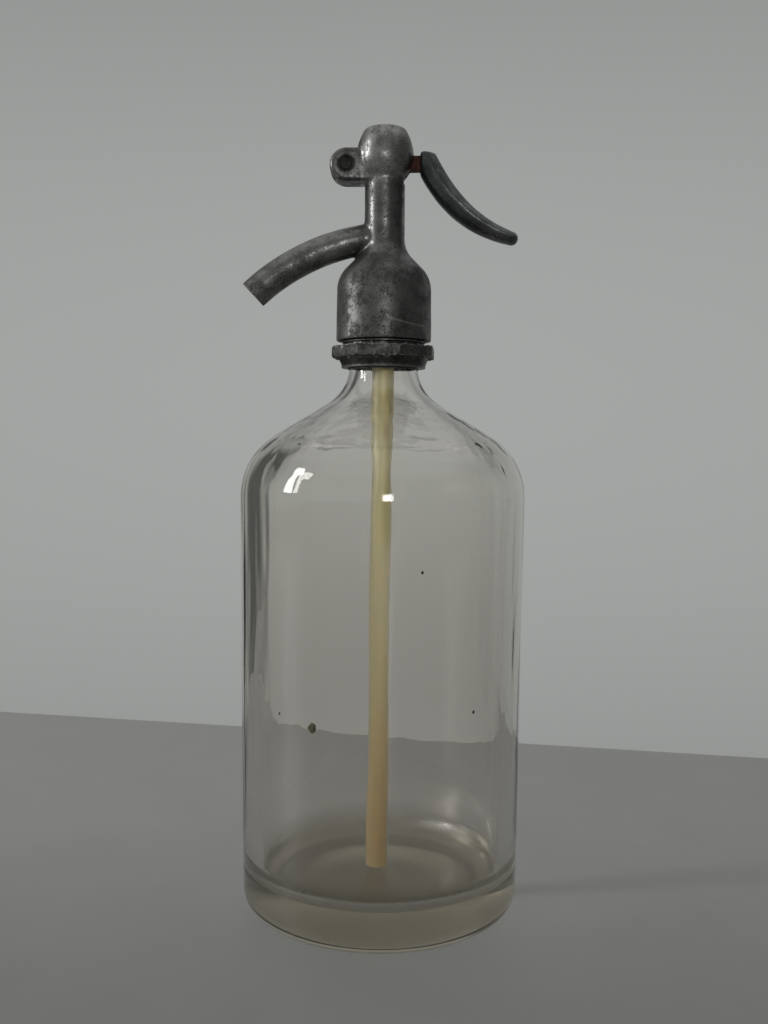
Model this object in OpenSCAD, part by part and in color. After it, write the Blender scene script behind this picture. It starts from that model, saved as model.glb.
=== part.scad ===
// Soda siphon: a thick glass bottle with a screwed-on pewter head. Pressing the curved lever
// pushes a spring-loaded plunger down, which opens the valve and lets the water up the dip
// tube, past the valve and out of the spout.
// Millimetres. +Z is up, and the origin is the centre of the base. The spout points to -X and
// the lever to +X.

/* [Bottle] */
// Diameter of the glass at the foot of the shoulder, its widest place
bottle_d = 105; // [95:0.5:115]
// Diameter of the glass just above the rounded heel
base_d = 102.4; // [90:0.1:115]
// Thickness of the glass wall
wall = 4.5; // [3.5:0.1:6]
// Height where the straight body ends and the shoulder starts to turn in
shoulder_z = 154; // [120:1:190]
// Radius of the shoulder's outward curve
shoulder_r = 26; // [20:0.5:30]
// Slope of the straight stretch above that curve, in degrees from level
shoulder_slope = 31; // [25:1:40]
// Diameter of the glass neck
neck_d = 24.6; // [24:0.1:26]
// Radius of the inward curve between the shoulder and the neck
neck_fillet_r = 18; // [12:0.5:24]
// Diameter of the hole through the neck
neck_bore_d = 17.2; // [16:0.1:18]
// Radius of the rounded heel
heel_r = 9; // [5:0.5:12]
// Height of the inside floor above the table
floor_z = 12.5; // [9:0.5:18]
// Radius of the inside corner between floor and wall
inner_corner_r = 8; // [4:0.5:12]
// Depth of the shallow hollow under the base
push_up = 2.5; // [1:0.1:4]
// Width of the ring that the bottle stands on
foot_ring_w = 6; // [3:0.5:10]

/* [Bottle mouth] */
// Diameter of the groove that the split ring grips
groove_d = 22.6; // [22:0.1:23.4]
// Height of that groove, without the slope that leads out of it
groove_h = 2.6; // [2:0.1:4]
// Diameter of the glass bead round the mouth
bead_d = 26; // [25.4:0.1:26.4]
// Height from the groove's lower edge to the top of the glass
mouth_h = 9.4; // [8.6:0.1:12]
// Radius of the mouth's rounded edges
mouth_round = 1; // [0.5:0.1:1.5]

/* [Collar and split ring] */
// Width of the eight-sided flange, corner to corner
flange_corners = 39.6; // [37:0.1:44]
// Thickness of that flange
flange_t = 4.2; // [3:0.1:6]
// Turn of the flange's first corner away from +X, in degrees
flange_turn = 17; // [0:1:45]
// Bevel along the flange's edges
flange_bevel = 0.8; // [0.3:0.1:1.2]
// Gap between the flange and the rim of the bell
flange_gap = 2.1; // [1:0.1:3]
// Diameter of the collar's screwed sleeve, over the thread
sleeve_d = 30.7; // [30:0.1:32]
// Pitch of the thread
thread_pitch = 1.5; // [1:0.1:2]
// Depth of the thread
thread_depth = 0.5; // [0.3:0.05:0.6]
// Diameter of the hole through the collar
collar_bore_d = 27.2; // [27:0.1:27.6]
// Diameter of that hole at the skirt's lower end, which just clears the bead
collar_lip_d = 26.2; // [26.1:0.1:26.8]
// Space between the collar's top and the roof of the bell
collar_top_gap = 0.4; // [0.2:0.1:1]
// Diameter of the collar's tapered skirt where it leaves the flange
skirt_d = 33; // [31:0.1:35]
// Diameter of the skirt's lower end
skirt_end_d = 31; // [30:0.1:33]
// Height of the skirt below the flange
skirt_h = 3.5; // [2:0.1:5]
// How far the skirt draws in over its upper quarter
skirt_step = 0.3; // [0.1:0.1:0.6]
// Space between the two halves of the split ring
split_gap = 0.8; // [0.4:0.1:2]
// How far the split ring shows below the skirt
split_drop = 0.7; // [0:0.1:1.5]

/* [Head] */
// Inside depth of the bell, from its rim to its roof
bell_depth = 6.5; // [5.5:0.1:10]
// Diameter of the bell at its rim
bell_rim_d = 35; // [34:0.1:38]
// Diameter of the bell at the foot of its shoulder
bell_top_d = 34.6; // [33:0.1:37]
// Height from the bell's roof to the foot of its shoulder
bell_body_h = 12; // [10:0.5:20]
// Radius of the bell's shoulder where it turns in
bell_round_r = 11.6; // [9:0.1:13]
// Radius of the curve from the shoulder into the column
column_fillet_r = 10.7; // [6:0.1:14]
// Diameter of the column
column_d = 14.7; // [14:0.1:17]
// Height of the ball's centre above the bell's roof
ball_h = 60; // [57:0.5:75]
// Diameter of the ball
ball_d = 21; // [20:0.1:24]
// Radius of the flatter side of the ball's upper half
ball_side_r = 18.5; // [16:0.1:24]
// Radius of the edge round the ball's flat top
ball_edge_r = 2.6; // [1.5:0.1:4]
// Height of the ball's flat top above its centre
ball_top_h = 10.7; // [10:0.1:12]

/* [Lug and pivot] */
// Distance of the pivot from the head's axis
pivot_x = 14.1; // [13:0.1:17]
// How far the pivot lies below the ball's centre
pivot_drop = 3.3; // [2:0.1:4]
// Diameter of the lug round the pivot
lug_d = 12; // [11.4:0.1:14]
// Width of the lug, across the spout's direction
lug_w = 12; // [10:0.1:14]
// Diameter of the pivot pin
pin_d = 4.4; // [3:0.1:4.6]
// Depth of the ring sunk round the pin's ends
pin_sink = 0.5; // [0.2:0.1:1]
// Width of that ring
pin_sink_w = 0.7; // [0.3:0.1:1]

/* [Spout] */
// Diameter of the spout
spout_d = 11; // [9.5:0.1:12]
// Diameter of the hole through the spout
spout_bore_d = 5.5; // [4:0.1:6]
// Height of the spout's centreline above the bell's roof, where it leaves the column
spout_h = 30.6; // [28:0.1:34]
// Radius of the spout's downward bend, on its centreline
spout_bend_r = 79.5; // [60:0.5:90]
// Slope of the spout where it leaves the column, in degrees below level
spout_start_slope = 9.8; // [5:0.1:15]
// Slope of the spout at its tip
spout_end_slope = 43.2; // [32:0.1:50]
// Distance from the bottle's axis at which the spout's bar starts, inside the column
spout_root_x = 1; // [0:0.1:3]
// Distance from the bottle's axis at which its bore starts, inside the column's bore
port_x = 2.4; // [1:0.1:3.4]
// How far the bore's cut runs on past the tip, in degrees of the bend
port_over_turn = 2; // [1:0.5:4]

/* [Lever] */
// Height of the shank, the bar through the ball
shank_h = 5.4; // [4.4:0.1:6]
// Width of the shank
shank_w = 4.4; // [3:0.1:5]
// Diameter of the shank's eye round the pivot pin
eye_d = 8; // [7.4:0.1:8.4]
// Length of the shank from the pivot to the handle
shank_l = 26.9; // [26:0.1:34]
// Length of the tang inside the handle
tang_l = 3.5; // [2:0.1:5]
// Height of the tang
tang_h = 4.2; // [3:0.1:4.4]
// Width of the tang
tang_w = 3.2; // [2:0.1:3.6]
// Reach of the handle's tip beyond the pivot
handle_reach = 60.7; // [50:0.1:70]
// Drop of the handle's tip below the pivot
handle_drop = 25.3; // [18:0.1:32]
// Depth of the handle at its root, in side view
handle_root = 8.6; // [8:0.1:10]
// Depth of the handle at its middle
handle_middle = 8.2; // [7:0.1:10]
// Depth of the handle at its tip, in side view
handle_tip = 4.9; // [3:0.1:7]
// Width of the handle at its middle, under the thumb
handle_w = 11; // [8:0.1:14]
// Width of the handle at its root and its tip
handle_end_w = 8.4; // [7:0.1:12]
// Distance from the pivot to the middle of the handle's upper end
handle_top_x = 28.4; // [27.5:0.1:31]
// Height of that middle above the pivot
handle_top_h = 3.8; // [3:0.1:4.6]
// Height of the handle's flat top above the pivot
handle_crown_h = 5.3; // [4.8:0.1:6]
// How far the curve's upper pull lies out from the upper end
top_pull_x = 6.2; // [4:0.1:8]
// How far it lies below the upper end
top_pull_drop = 12.8; // [9:0.1:16]
// How far the curve's lower pull lies back from the tip
tip_pull_x = 17.2; // [12:0.1:22]
// How far it lies above the tip
tip_pull_h = 4.9; // [2:0.1:8]
// Turn of the lever from rest to fully pressed, in degrees
lever_turn = 12; // [4:0.5:12]

/* [Valve] */
// Thickness of the rubber gasket on the mouth of the glass
neck_gasket_t = 2.2; // [1:0.1:3]
// Thickness of the valve cage's flange
cage_flange_t = 2; // [1.5:0.1:2.5]
// Diameter of that flange and of both gaskets
cage_flange_d = 26.4; // [25:0.1:26.8]
// Thickness of the fibre gasket under the bell's roof
cage_gasket_t = 0.85; // [0.5:0.05:1.5]
// Diameter of the valve chamber in the head
chamber_d = 18.9; // [18:0.1:19.5]
// Height of the valve chamber above the bell's roof
chamber_h = 14.8; // [14.4:0.1:18]
// Height of the cage's cup above its flange
cup_h = 6.4; // [4:0.1:6.6]
// Inside diameter of that cup
cup_bore_d = 14.8; // [14:0.1:15.6]
// Height of the cup's floor above the flange's lower face
cup_floor_h = 4.35; // [3:0.05:5]
// Diameter of the water hole through the cage
cage_hole_d = 5; // [4:0.1:6]
// Length of the socket that hangs into the neck
tail_l = 11.6; // [9:0.1:16]
// Diameter of that socket
tail_d = 13.6; // [12.6:0.1:14]
// Diameter of the valve seat bush
seat_d = 12.8; // [11:0.1:14]
// Height of the bush in the head
seat_h = 3.7; // [3:0.1:5]
// Diameter of the hole through the seat
seat_bore_d = 6.4; // [5.6:0.1:7]
// Diameter of the lip that the rubber disc closes on
lip_d = 8.6; // [8:0.1:9.4]
// Height of that lip
lip_h = 0.8; // [0.5:0.1:1]
// Thickness of the seat's gasket
seat_gasket_t = 0.8; // [0.5:0.1:1.2]
// Diameter of the rubber valve disc
disc_d = 11; // [10.2:0.1:11.6]
// Thickness of the rubber valve disc
disc_t = 2.5; // [2:0.1:3]
// Diameter of the cup that holds the disc
holder_d = 12.8; // [12.4:0.1:13.2]
// Height of that cup
holder_h = 3.6; // [3.2:0.1:4]
// How far the disc stands out of its cup
disc_proud = 1.2; // [0.6:0.1:1.4]
// Width of the nut under the cup, corner to corner
nut_corners = 8; // [7:0.1:8.6]
// Height of that nut
nut_h = 2.4; // [1.6:0.1:2.6]
// Diameter of the rod where the water flows past it
rod_d = 4; // [3.4:0.1:4.4]
// Diameter of the rod where it slides in the column
guide_d = 5; // [4.8:0.1:5.4]
// Radius of the rod's rounded top
rod_nose_r = 5; // [4:0.1:8]
// Diameter of the bore round the rod in the column
stem_bore_d = 8; // [7.4:0.1:8.4]
// Height of that bore's upper end above the bell's roof
stem_bore_top = 43.5; // [42:0.1:45]
// Height of the rubber piston seal
seal_h = 4; // [3:0.1:5]
// Space above the seal at rest
seal_space = 1.5; // [1:0.1:2.5]
// Depth of the seal's grooves
seal_groove = 0.4; // [0.2:0.1:0.8]
// Thickness of the washer under the seal
washer_t = 0.9; // [0.6:0.1:1.2]

/* [Spring] */
// Thickness of the spring's wire
wire_d = 0.9; // [0.6:0.05:1]
// Diameter of the spring, middle of the wire to middle of the wire
spring_d = 10.8; // [10.4:0.1:11.4]
// Turns of the spring
spring_turns = 3.5; // [3:0.5:4]

/* [Dip tube] */
// Diameter of the dip tube
tube_d = 8.1; // [6:0.1:8.2]
// Diameter of the hole through it
tube_bore_d = 5.2; // [3.5:0.1:5.4]
// Space between its lower end and the floor of the bottle
tube_gap = 2.5; // [1.5:0.1:8]
// Space between its upper end and the roof of its socket
tube_top_gap = 0.5; // [0.3:0.1:1]
// Thickness of the rubber sleeve round its upper end
sleeve_t = 1.15; // [0.8:0.05:1.3]
// Length of that sleeve
sleeve_l = 9; // [6:0.1:9.5]

/* [Clearances] */
// Radial clearance of a part that turns or slides in a bore
running_gap = 0.05; // [0.02:0.01:0.1]
// Radial clearance of a part that is screwed or pushed in and stays
fixed_gap = 0.05; // [0:0.01:0.1]
// Clearance between the lever and what it moves through or pushes on
lever_gap = 0.3; // [0.2:0.05:0.5]
// Clearance between the collar's thread and the bell
thread_gap = 0.1; // [0.05:0.01:0.2]
// Clearance between the closed valve disc and its seat
disc_gap = 0.1; // [0.05:0.01:0.2]

/* [Hidden] */
$fn = 96;

// What the cuts run past a face, so that no thin skin is left
over = 1;
// Steps that an arc in an outline is divided into
arc_steps = 14;

// Bottle
bottle_r = bottle_d / 2;
base_r = base_d / 2;
neck_r = neck_d / 2;
neck_bore_r = neck_bore_d / 2;
groove_r = groove_d / 2;
bead_r = bead_d / 2;
foot_r = base_r - heel_r;
foot_in_r = foot_r - foot_ring_w;
dome_steps = 8;
// Where the base meets the wall: at the top of the inside corner
base_band_z = floor_z + inner_corner_r;
base_band_r = base_r + (bottle_r - base_r) * (base_band_z - heel_r) / (shoulder_z - heel_r);
shoulder_end = [bottle_r - shoulder_r * (1 - sin(shoulder_slope)),
                shoulder_z + shoulder_r * cos(shoulder_slope)];
fillet_start_x = neck_r + neck_fillet_r * (1 - sin(shoulder_slope));
fillet_start_z = shoulder_end[1] + (shoulder_end[0] - fillet_start_x) * tan(shoulder_slope);
neck_z = fillet_start_z + neck_fillet_r * cos(shoulder_slope);
groove_z = neck_z + neck_r - groove_r;
groove_top_z = groove_z + groove_h;
bead_z = groove_top_z + bead_r - groove_r;
mouth_z = neck_z + mouth_h;

// Stack on the mouth of the bottle
cage_z = mouth_z + neck_gasket_t;
cage_top_z = cage_z + cage_flange_t;
roof_z = cage_top_z + cage_gasket_t;
rim_z = roof_z - bell_depth;

// Collar and split ring
flange_top_z = rim_z - flange_gap;
flange_z = flange_top_z - flange_t;
skirt_z = flange_z - skirt_h;
collar_top_z = roof_z - collar_top_gap;
thread_turns = floor((collar_top_z - flange_top_z) / thread_pitch);
split_z = skirt_z - split_drop;
split_lip_x = bead_r - 2 * fixed_gap;

// Head
bell_bore_r = sleeve_d / 2 + thread_gap;
bell_top_r = bell_top_d / 2;
column_r = column_d / 2;
ball_r = ball_d / 2;
bell_round_z = roof_z + bell_body_h;
bell_round_end = [bell_top_r - bell_round_r * (1 - cos(45)),
                  bell_round_z + bell_round_r * sin(45)];
column_foot_x = column_r + column_fillet_r * (1 - cos(45));
column_z = bell_round_end[1] + bell_round_end[0] - column_foot_x + column_fillet_r * sin(45);
ball_z = roof_z + ball_h;
ball_top_z = ball_z + ball_top_h;
// Angle below level at which the ball meets the column
ball_low = acos(column_r / ball_r);
ball_side_x = ball_r - ball_side_r;
ball_edge_z = ball_top_z - ball_edge_r;
ball_edge_turn = asin((ball_edge_z - ball_z) / (ball_side_r - ball_edge_r));
ball_edge_x = ball_side_x + (ball_side_r - ball_edge_r) * cos(ball_edge_turn);

// Spout: the middle of its bend, and the slopes where its outside and its bore start
spout_r = spout_d / 2;
spout_bore_r = spout_bore_d / 2;
bend_x = spout_bend_r * sin(spout_start_slope) - column_r;
bend_z = roof_z + spout_h - spout_bend_r * cos(spout_start_slope);
spout_root_slope = asin((bend_x + spout_root_x) / spout_bend_r);
port_slope = asin((bend_x + port_x) / spout_bend_r);

// Lever
pivot_z = ball_z - pivot_drop;
pin_r = pin_d / 2;
lug_r = lug_d / 2;
eye_r = eye_d / 2;
shank_low = eye_r - shank_h;
handle_x = shank_l - pivot_x;
// The shank's underside over the plunger, at rest and when the lever is pressed
push_z = pivot_z + shank_low;
push_low_z = pivot_z + shank_low / cos(lever_turn) - pivot_x * tan(lever_turn);
plunger_travel = push_z - push_low_z;

// Slot that the lever swings in
slot_w = shank_w + 2 * lever_gap;
slot_top_z = pivot_z + eye_r + lever_gap;
slot_eye_z = pivot_z - eye_r - lever_gap;
slot_left_x = -pivot_x - lug_r - over;
slot_right_x = ball_r + over;
slot_bend_x = min(slot_right_x, -pivot_x + (pivot_z + (shank_low - lever_gap) / cos(lever_turn)
              - slot_eye_z) / tan(lever_turn));
slot_right_z = slot_eye_z - (slot_right_x - slot_bend_x) * tan(lever_turn);

// Head's bores, from the bottom up
chamber_r = chamber_d / 2;
chamber_z = roof_z + chamber_h;
seat_top_z = chamber_z + seat_h;
seat_low_z = chamber_z - lip_h;
stem_bore_r = stem_bore_d / 2;
stem_top_z = roof_z + stem_bore_top;

// Plunger, from the top down
rod_r = rod_d / 2;
guide_r = guide_d / 2;
rod_top_z = push_z - lever_gap;
nose_turn = asin(guide_r / rod_nose_r);
seal_top_z = stem_top_z - seal_space;
seal_z = seal_top_z - seal_h;
washer_r = stem_bore_r - lever_gap;
disc_r = disc_d / 2;
disc_top_z = seat_low_z - disc_gap;
disc_z = disc_top_z - disc_t;
holder_r = holder_d / 2;
holder_top_z = disc_top_z - disc_proud;
holder_z = holder_top_z - holder_h;
nut_z = holder_z - nut_h;

// Cage
cup_r = chamber_r - fixed_gap;
cup_top_z = cage_top_z + cup_h;
cup_floor_z = cage_z + cup_floor_h;
cage_hole_r = cage_hole_d / 2;
tail_z = cage_z - tail_l;

// Dip tube
tube_r = tube_d / 2;
tube_z = floor_z + tube_gap;
tube_top_z = tail_z + sleeve_l + tube_top_gap;
socket_r = tube_r + sleeve_t + fixed_gap;
socket_top_z = tube_top_z + tube_top_gap;

// Spring: the dead turns at each end, and its pitch between them
wire_r = wire_d / 2;
dead_turns = 0.75;
spring_z = cup_floor_z + wire_r;
spring_rise = holder_z - fixed_gap - wire_r - spring_z;
spring_pitch = (spring_rise - 2 * dead_turns * wire_d) / spring_turns;
wire_sides = 8;
turn_steps = 20;

// Profiles, as shares of a thread's pitch, the skirt's height and the seal's height
thread_crest = [0.3, 0.5];
thread_root = 0.8;
skirt_bend = [0.25, 0.7];
seal_ribs = [[0.15, 0.35], [0.65, 0.85]];
seal_waist = 0.5;

// Handle: the ends and the two pulls of its centre curve, in side view from the pivot
handle_top = [handle_top_x, handle_top_h];
handle_top_pull = [handle_top_x + top_pull_x, handle_top_h - top_pull_drop];
handle_tip_pull = [handle_reach - tip_pull_x, tip_pull_h - handle_drop];
handle_end = [handle_reach, -handle_drop];
handle_start = -0.14;
handle_steps = 22;
handle_sides = 28;
tip_steps = 5;
// Half the stretch of the curve over which its direction is taken
way_step = 0.01;
// Turn of the last ring of the rounded tip, just short of its point
tip_turn = 84;

glass = [0.8, 0.82, 0.78, 0.4];
pewter = [0.43, 0.43, 0.42];
dark_pewter = [0.33, 0.34, 0.34];
brass = [0.66, 0.55, 0.3];
black_rubber = [0.12, 0.12, 0.12];
fibre = [0.5, 0.2, 0.15];

function arc(cx, cz, r, from, to, steps = arc_steps) =
    [for (i = [0 : steps]) let (a = from + (to - from) * i / steps)
        [cx + r * cos(a), cz + r * sin(a)]];

// Radius of the outside of the glass in the curve below the neck
function neck_curve(z) =
    neck_r + neck_fillet_r - sqrt(neck_fillet_r * neck_fillet_r - (neck_z - z) * (neck_z - z));

module turned(points) {
    rotate_extrude() polygon(points);
}

module ring(r, bore_r, z, h) {
    turned([[bore_r, z], [r, z], [r, z + h], [bore_r, z + h]]);
}

// A cylinder along Y through the pivot
module at_pivot(r, h) {
    translate([-pivot_x, 0, pivot_z]) rotate([90, 0, 0]) cylinder(r = r, h = h, center = true);
}

// A shape drawn in side view, as thick as w along Y
module side_view(w) {
    rotate([90, 0, 0]) linear_extrude(height = w, center = true) children();
}

// One skin of rings joined into a closed solid, each ring a list of as many points
module skin(rings) {
    n = len(rings[0]);
    last = len(rings) - 1;
    polyhedron(
        points = [for (one = rings) for (p = one) p],
        faces = concat(
            [[for (k = [0 : n - 1]) k]],
            [[for (k = [0 : n - 1]) last * n + n - 1 - k]],
            [for (i = [0 : last - 1]) for (k = [0 : n - 1]) let (next = (k + 1) % n)
                [i * n + k, (i + 1) * n + k, (i + 1) * n + next, i * n + next]]
        ));
}

// The glass is one moulding, drawn in three bands that meet: base, wall and shoulder
module glass_base() {
    outside = concat(
        [for (i = [0 : dome_steps]) let (x = foot_in_r * i / dome_steps)
            [x, push_up * (1 - x * x / (foot_in_r * foot_in_r))]],
        arc(foot_r, heel_r, heel_r, -90, 0),
        [[base_band_r, base_band_z]]);
    inside = concat(
        arc(base_r - wall - inner_corner_r, base_band_z, inner_corner_r, 0, -90),
        [[0, floor_z]]);
    color(glass) turned(concat(outside, inside));
}

module glass_wall() {
    color(glass) turned([
        [base_r - wall, base_band_z], [base_band_r, base_band_z],
        [bottle_r, shoulder_z], [bottle_r - wall, shoulder_z]]);
}

module glass_shoulder() {
    outside = concat(
        arc(bottle_r - shoulder_r, shoulder_z, shoulder_r, 0, 90 - shoulder_slope),
        arc(neck_r + neck_fillet_r, neck_z, neck_fillet_r, 270 - shoulder_slope, 180),
        [[groove_r, groove_z], [groove_r, groove_top_z], [bead_r, bead_z]],
        arc(bead_r - mouth_round, mouth_z - mouth_round, mouth_round, 0, 90, 4));
    inside = concat(
        arc(neck_bore_r + mouth_round, mouth_z - mouth_round, mouth_round, 90, 180, 4),
        arc(neck_r + neck_fillet_r, neck_z, neck_fillet_r + neck_r - neck_bore_r,
            180, 270 - shoulder_slope),
        arc(bottle_r - shoulder_r, shoulder_z, shoulder_r - wall, 90 - shoulder_slope, 0));
    color(glass) turned(concat(outside, inside));
}

module neck_gasket() {
    color(black_rubber) ring(cage_flange_d / 2, neck_bore_r, mouth_z, neck_gasket_t);
}

// Half of the split ring, which grips the groove and carries the collar
module split_ring(turn) {
    half = [
        [neck_curve(split_z) + fixed_gap, split_z],
        [collar_lip_d / 2 - fixed_gap, split_z],
        [collar_lip_d / 2 - fixed_gap, skirt_z],
        [collar_bore_d / 2 - fixed_gap, flange_z],
        [collar_bore_d / 2 - fixed_gap, bead_z - 2 * fixed_gap],
        [split_lip_x, bead_z - 2 * fixed_gap - (bead_r - split_lip_x)],
        [groove_r + fixed_gap, groove_top_z - fixed_gap],
        [groove_r + fixed_gap, groove_z + fixed_gap],
        [neck_r + fixed_gap, neck_z]
    ];
    gap_turn = asin(split_gap / 2 / groove_r);
    color(dark_pewter) rotate([0, 0, turn + gap_turn])
        rotate_extrude(angle = 180 - 2 * gap_turn) polygon(half);
}

module split_ring_front() {
    split_ring(180);
}

module split_ring_back() {
    split_ring(0);
}

module neck_collar() {
    corner_r = flange_corners / 2;
    crest_r = sleeve_d / 2;
    root_r = crest_r - thread_depth;
    bore_r = collar_bore_d / 2;
    thread = [for (i = [0 : thread_turns - 1]) let (z = collar_top_z - i * thread_pitch)
        for (p = [[root_r, z], [crest_r, z - thread_crest[0] * thread_pitch],
                  [crest_r, z - thread_crest[1] * thread_pitch],
                  [root_r, z - thread_root * thread_pitch]]) p];
    color(dark_pewter) difference() {
        union() {
            turned(concat(
                [[0, collar_top_z]], thread,
                [[root_r, flange_z], [skirt_d / 2, flange_z],
                 [skirt_d / 2 - skirt_step, flange_z - skirt_bend[0] * skirt_h],
                 [skirt_end_d / 2, flange_z - skirt_bend[1] * skirt_h],
                 [skirt_end_d / 2, skirt_z], [0, skirt_z]]));
            intersection() {
                translate([0, 0, flange_z]) rotate([0, 0, flange_turn])
                    cylinder(r = corner_r, h = flange_t, $fn = 8);
                turned([[0, flange_z], [corner_r - flange_bevel, flange_z],
                        [corner_r, flange_z + flange_bevel],
                        [corner_r, flange_top_z - flange_bevel],
                        [corner_r - flange_bevel, flange_top_z], [0, flange_top_z]]);
            }
        }
        turned([[0, skirt_z - over], [collar_lip_d / 2, skirt_z - over],
                [collar_lip_d / 2, skirt_z], [bore_r, flange_z],
                [bore_r, collar_top_z + over], [0, collar_top_z + over]]);
    }
}

// The bend of the spout, swept with a round section between two slopes
module spout_bend(r, from, to) {
    translate([bend_x, 0, bend_z]) rotate([90, 0, 0]) rotate([0, 0, 90 + from])
        rotate_extrude(angle = to - from) translate([spout_bend_r, 0]) circle(r = r);
}

// Bell, column and ball, as turned on a lathe
module head_body() {
    turned(concat(
        [[0, rim_z], [bell_rim_d / 2, rim_z]],
        arc(bell_top_r - bell_round_r, bell_round_z, bell_round_r, 0, 45),
        arc(column_r + column_fillet_r, column_z, column_fillet_r, 225, 180),
        arc(0, ball_z, ball_r, -ball_low, 0),
        arc(ball_side_x, ball_z, ball_side_r, 0, ball_edge_turn),
        arc(ball_edge_x, ball_edge_z, ball_edge_r, ball_edge_turn, 90, 6),
        [[0, ball_top_z]]));
}

module head_bores() {
    seat_bore_r = seat_d / 2 + fixed_gap;
    gasket_z = seat_top_z + seat_gasket_t;
    guide_bore_r = guide_r + running_gap;
    turned([[0, rim_z - over], [bell_bore_r, rim_z - over], [bell_bore_r, roof_z],
            [chamber_r, roof_z], [chamber_r, chamber_z], [seat_bore_r, chamber_z],
            [seat_bore_r, gasket_z], [stem_bore_r, gasket_z], [stem_bore_r, stem_top_z],
            [guide_bore_r, stem_top_z], [guide_bore_r, push_z], [0, push_z]]);
}

module lever_slot() {
    side_view(slot_w) polygon([
        [slot_left_x, slot_eye_z], [slot_bend_x, slot_eye_z], [slot_right_x, slot_right_z],
        [slot_right_x, slot_top_z], [slot_left_x, slot_top_z]]);
}

module head_casting() {
    color(pewter) difference() {
        union() {
            head_body();
            at_pivot(lug_r, lug_w);
            translate([-pivot_x, -lug_w / 2, pivot_z - lug_r]) cube([pivot_x, lug_w, lug_d]);
            spout_bend(spout_r, spout_root_slope, spout_end_slope);
        }
        head_bores();
        spout_bend(spout_bore_r, port_slope, spout_end_slope + port_over_turn);
        lever_slot();
        at_pivot(pin_r + fixed_gap, lug_w + 2 * over);
        for (side = [-1, 1]) translate([0, side * lug_w / 2, 0])
            at_pivot(pin_r + pin_sink_w, 2 * pin_sink);
    }
}

module pivot_pin() {
    color(dark_pewter) at_pivot(pin_r, lug_w);
}

module cage_gasket() {
    color(fibre) ring(cage_flange_d / 2, chamber_r, cage_top_z, cage_gasket_t);
}

module valve_cage() {
    color(brass) turned([
        [cage_hole_r, socket_top_z], [socket_r, socket_top_z], [socket_r, tail_z],
        [tail_d / 2, tail_z], [tail_d / 2, cage_z], [cage_flange_d / 2, cage_z],
        [cage_flange_d / 2, cage_top_z], [cup_r, cage_top_z], [cup_r, cup_top_z],
        [cup_bore_d / 2, cup_top_z], [cup_bore_d / 2, cup_floor_z],
        [cage_hole_r, cup_floor_z]]);
}

module seat_gasket() {
    color(fibre) ring(seat_d / 2, stem_bore_r, seat_top_z, seat_gasket_t);
}

module valve_seat() {
    color(brass) turned([
        [seat_bore_d / 2, seat_low_z], [lip_d / 2, seat_low_z], [lip_d / 2, chamber_z],
        [seat_d / 2, chamber_z], [seat_d / 2, seat_top_z], [seat_bore_d / 2, seat_top_z]]);
}

module tube_sleeve() {
    color(black_rubber) ring(tube_r + sleeve_t, tube_r, tail_z, sleeve_l);
}

module dip_tube() {
    color([0.75, 0.68, 0.42, 0.7]) ring(tube_r, tube_bore_d / 2, tube_z, tube_top_z - tube_z);
}

// Height of the wire's middle after some turns, closed up at both ends
function wire_z(turns) =
    spring_z + wire_d * min(turns, dead_turns)
    + spring_pitch * min(max(turns - dead_turns, 0), spring_turns)
    + wire_d * max(turns - dead_turns - spring_turns, 0);

module return_spring() {
    steps = round(turn_steps * (spring_turns + 2 * dead_turns));
    color(pewter) skin([for (i = [0 : steps])
        let (turns = i / turn_steps, a = 360 * turns)
        [for (k = [0 : wire_sides - 1]) let (b = 360 * k / wire_sides,
                                             r = spring_d / 2 + wire_r * cos(b))
            [r * cos(a), r * sin(a), wire_z(turns) + wire_r * sin(b)]]]);
}

module plunger_rod() {
    color(brass) turned(concat(
        [[0, nut_z], [rod_r, nut_z], [rod_r, seal_top_z], [guide_r, seal_top_z]],
        arc(0, rod_top_z - rod_nose_r, rod_nose_r, 90 - nose_turn, 90, 5)));
}

module piston_seal() {
    r = stem_bore_r - running_gap;
    waist = [[r - seal_groove, seal_z + seal_waist * seal_h]];
    color(black_rubber) turned(concat(
        [[rod_r, seal_z], [r - seal_groove, seal_z]],
        [for (share = seal_ribs[0]) [r, seal_z + share * seal_h]], waist,
        [for (share = seal_ribs[1]) [r, seal_z + share * seal_h]],
        [[r - seal_groove, seal_top_z], [rod_r, seal_top_z]]));
}

module piston_washer() {
    color(brass) ring(washer_r, rod_r, seal_z - washer_t, washer_t);
}

module valve_holder() {
    color(brass) turned([
        [rod_r, holder_z], [holder_r, holder_z], [holder_r, holder_top_z],
        [disc_r, holder_top_z], [disc_r, disc_z], [rod_r, disc_z]]);
}

module valve_disc() {
    color(black_rubber) ring(disc_r, rod_r, disc_z, disc_t);
}

module valve_nut() {
    color(brass) difference() {
        translate([0, 0, nut_z]) cylinder(d = nut_corners, h = nut_h, $fn = 6);
        translate([0, 0, nut_z - over]) cylinder(r = rod_r, h = nut_h + 2 * over);
    }
}

module lever_shank() {
    color([0.35, 0.25, 0.2]) difference() {
        union() {
            at_pivot(eye_r, shank_w);
            translate([-pivot_x, -shank_w / 2, push_z]) cube([shank_l, shank_w, shank_h]);
            translate([handle_x - over, -tang_w / 2, push_z + (shank_h - tang_h) / 2])
                cube([tang_l + over, tang_w, tang_h]);
        }
        at_pivot(pin_r + running_gap, shank_w + 2 * over);
    }
}

// A point of the handle's centre curve, in side view from the pivot
function handle_at(t) =
    pow(1 - t, 3) * handle_top + 3 * t * pow(1 - t, 2) * handle_top_pull
    + 3 * t * t * (1 - t) * handle_tip_pull + pow(t, 3) * handle_end;

// The curve's direction there, as a unit vector
function handle_way(t) =
    let (d = handle_at(t + way_step) - handle_at(t - way_step)) d / norm(d);

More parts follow.
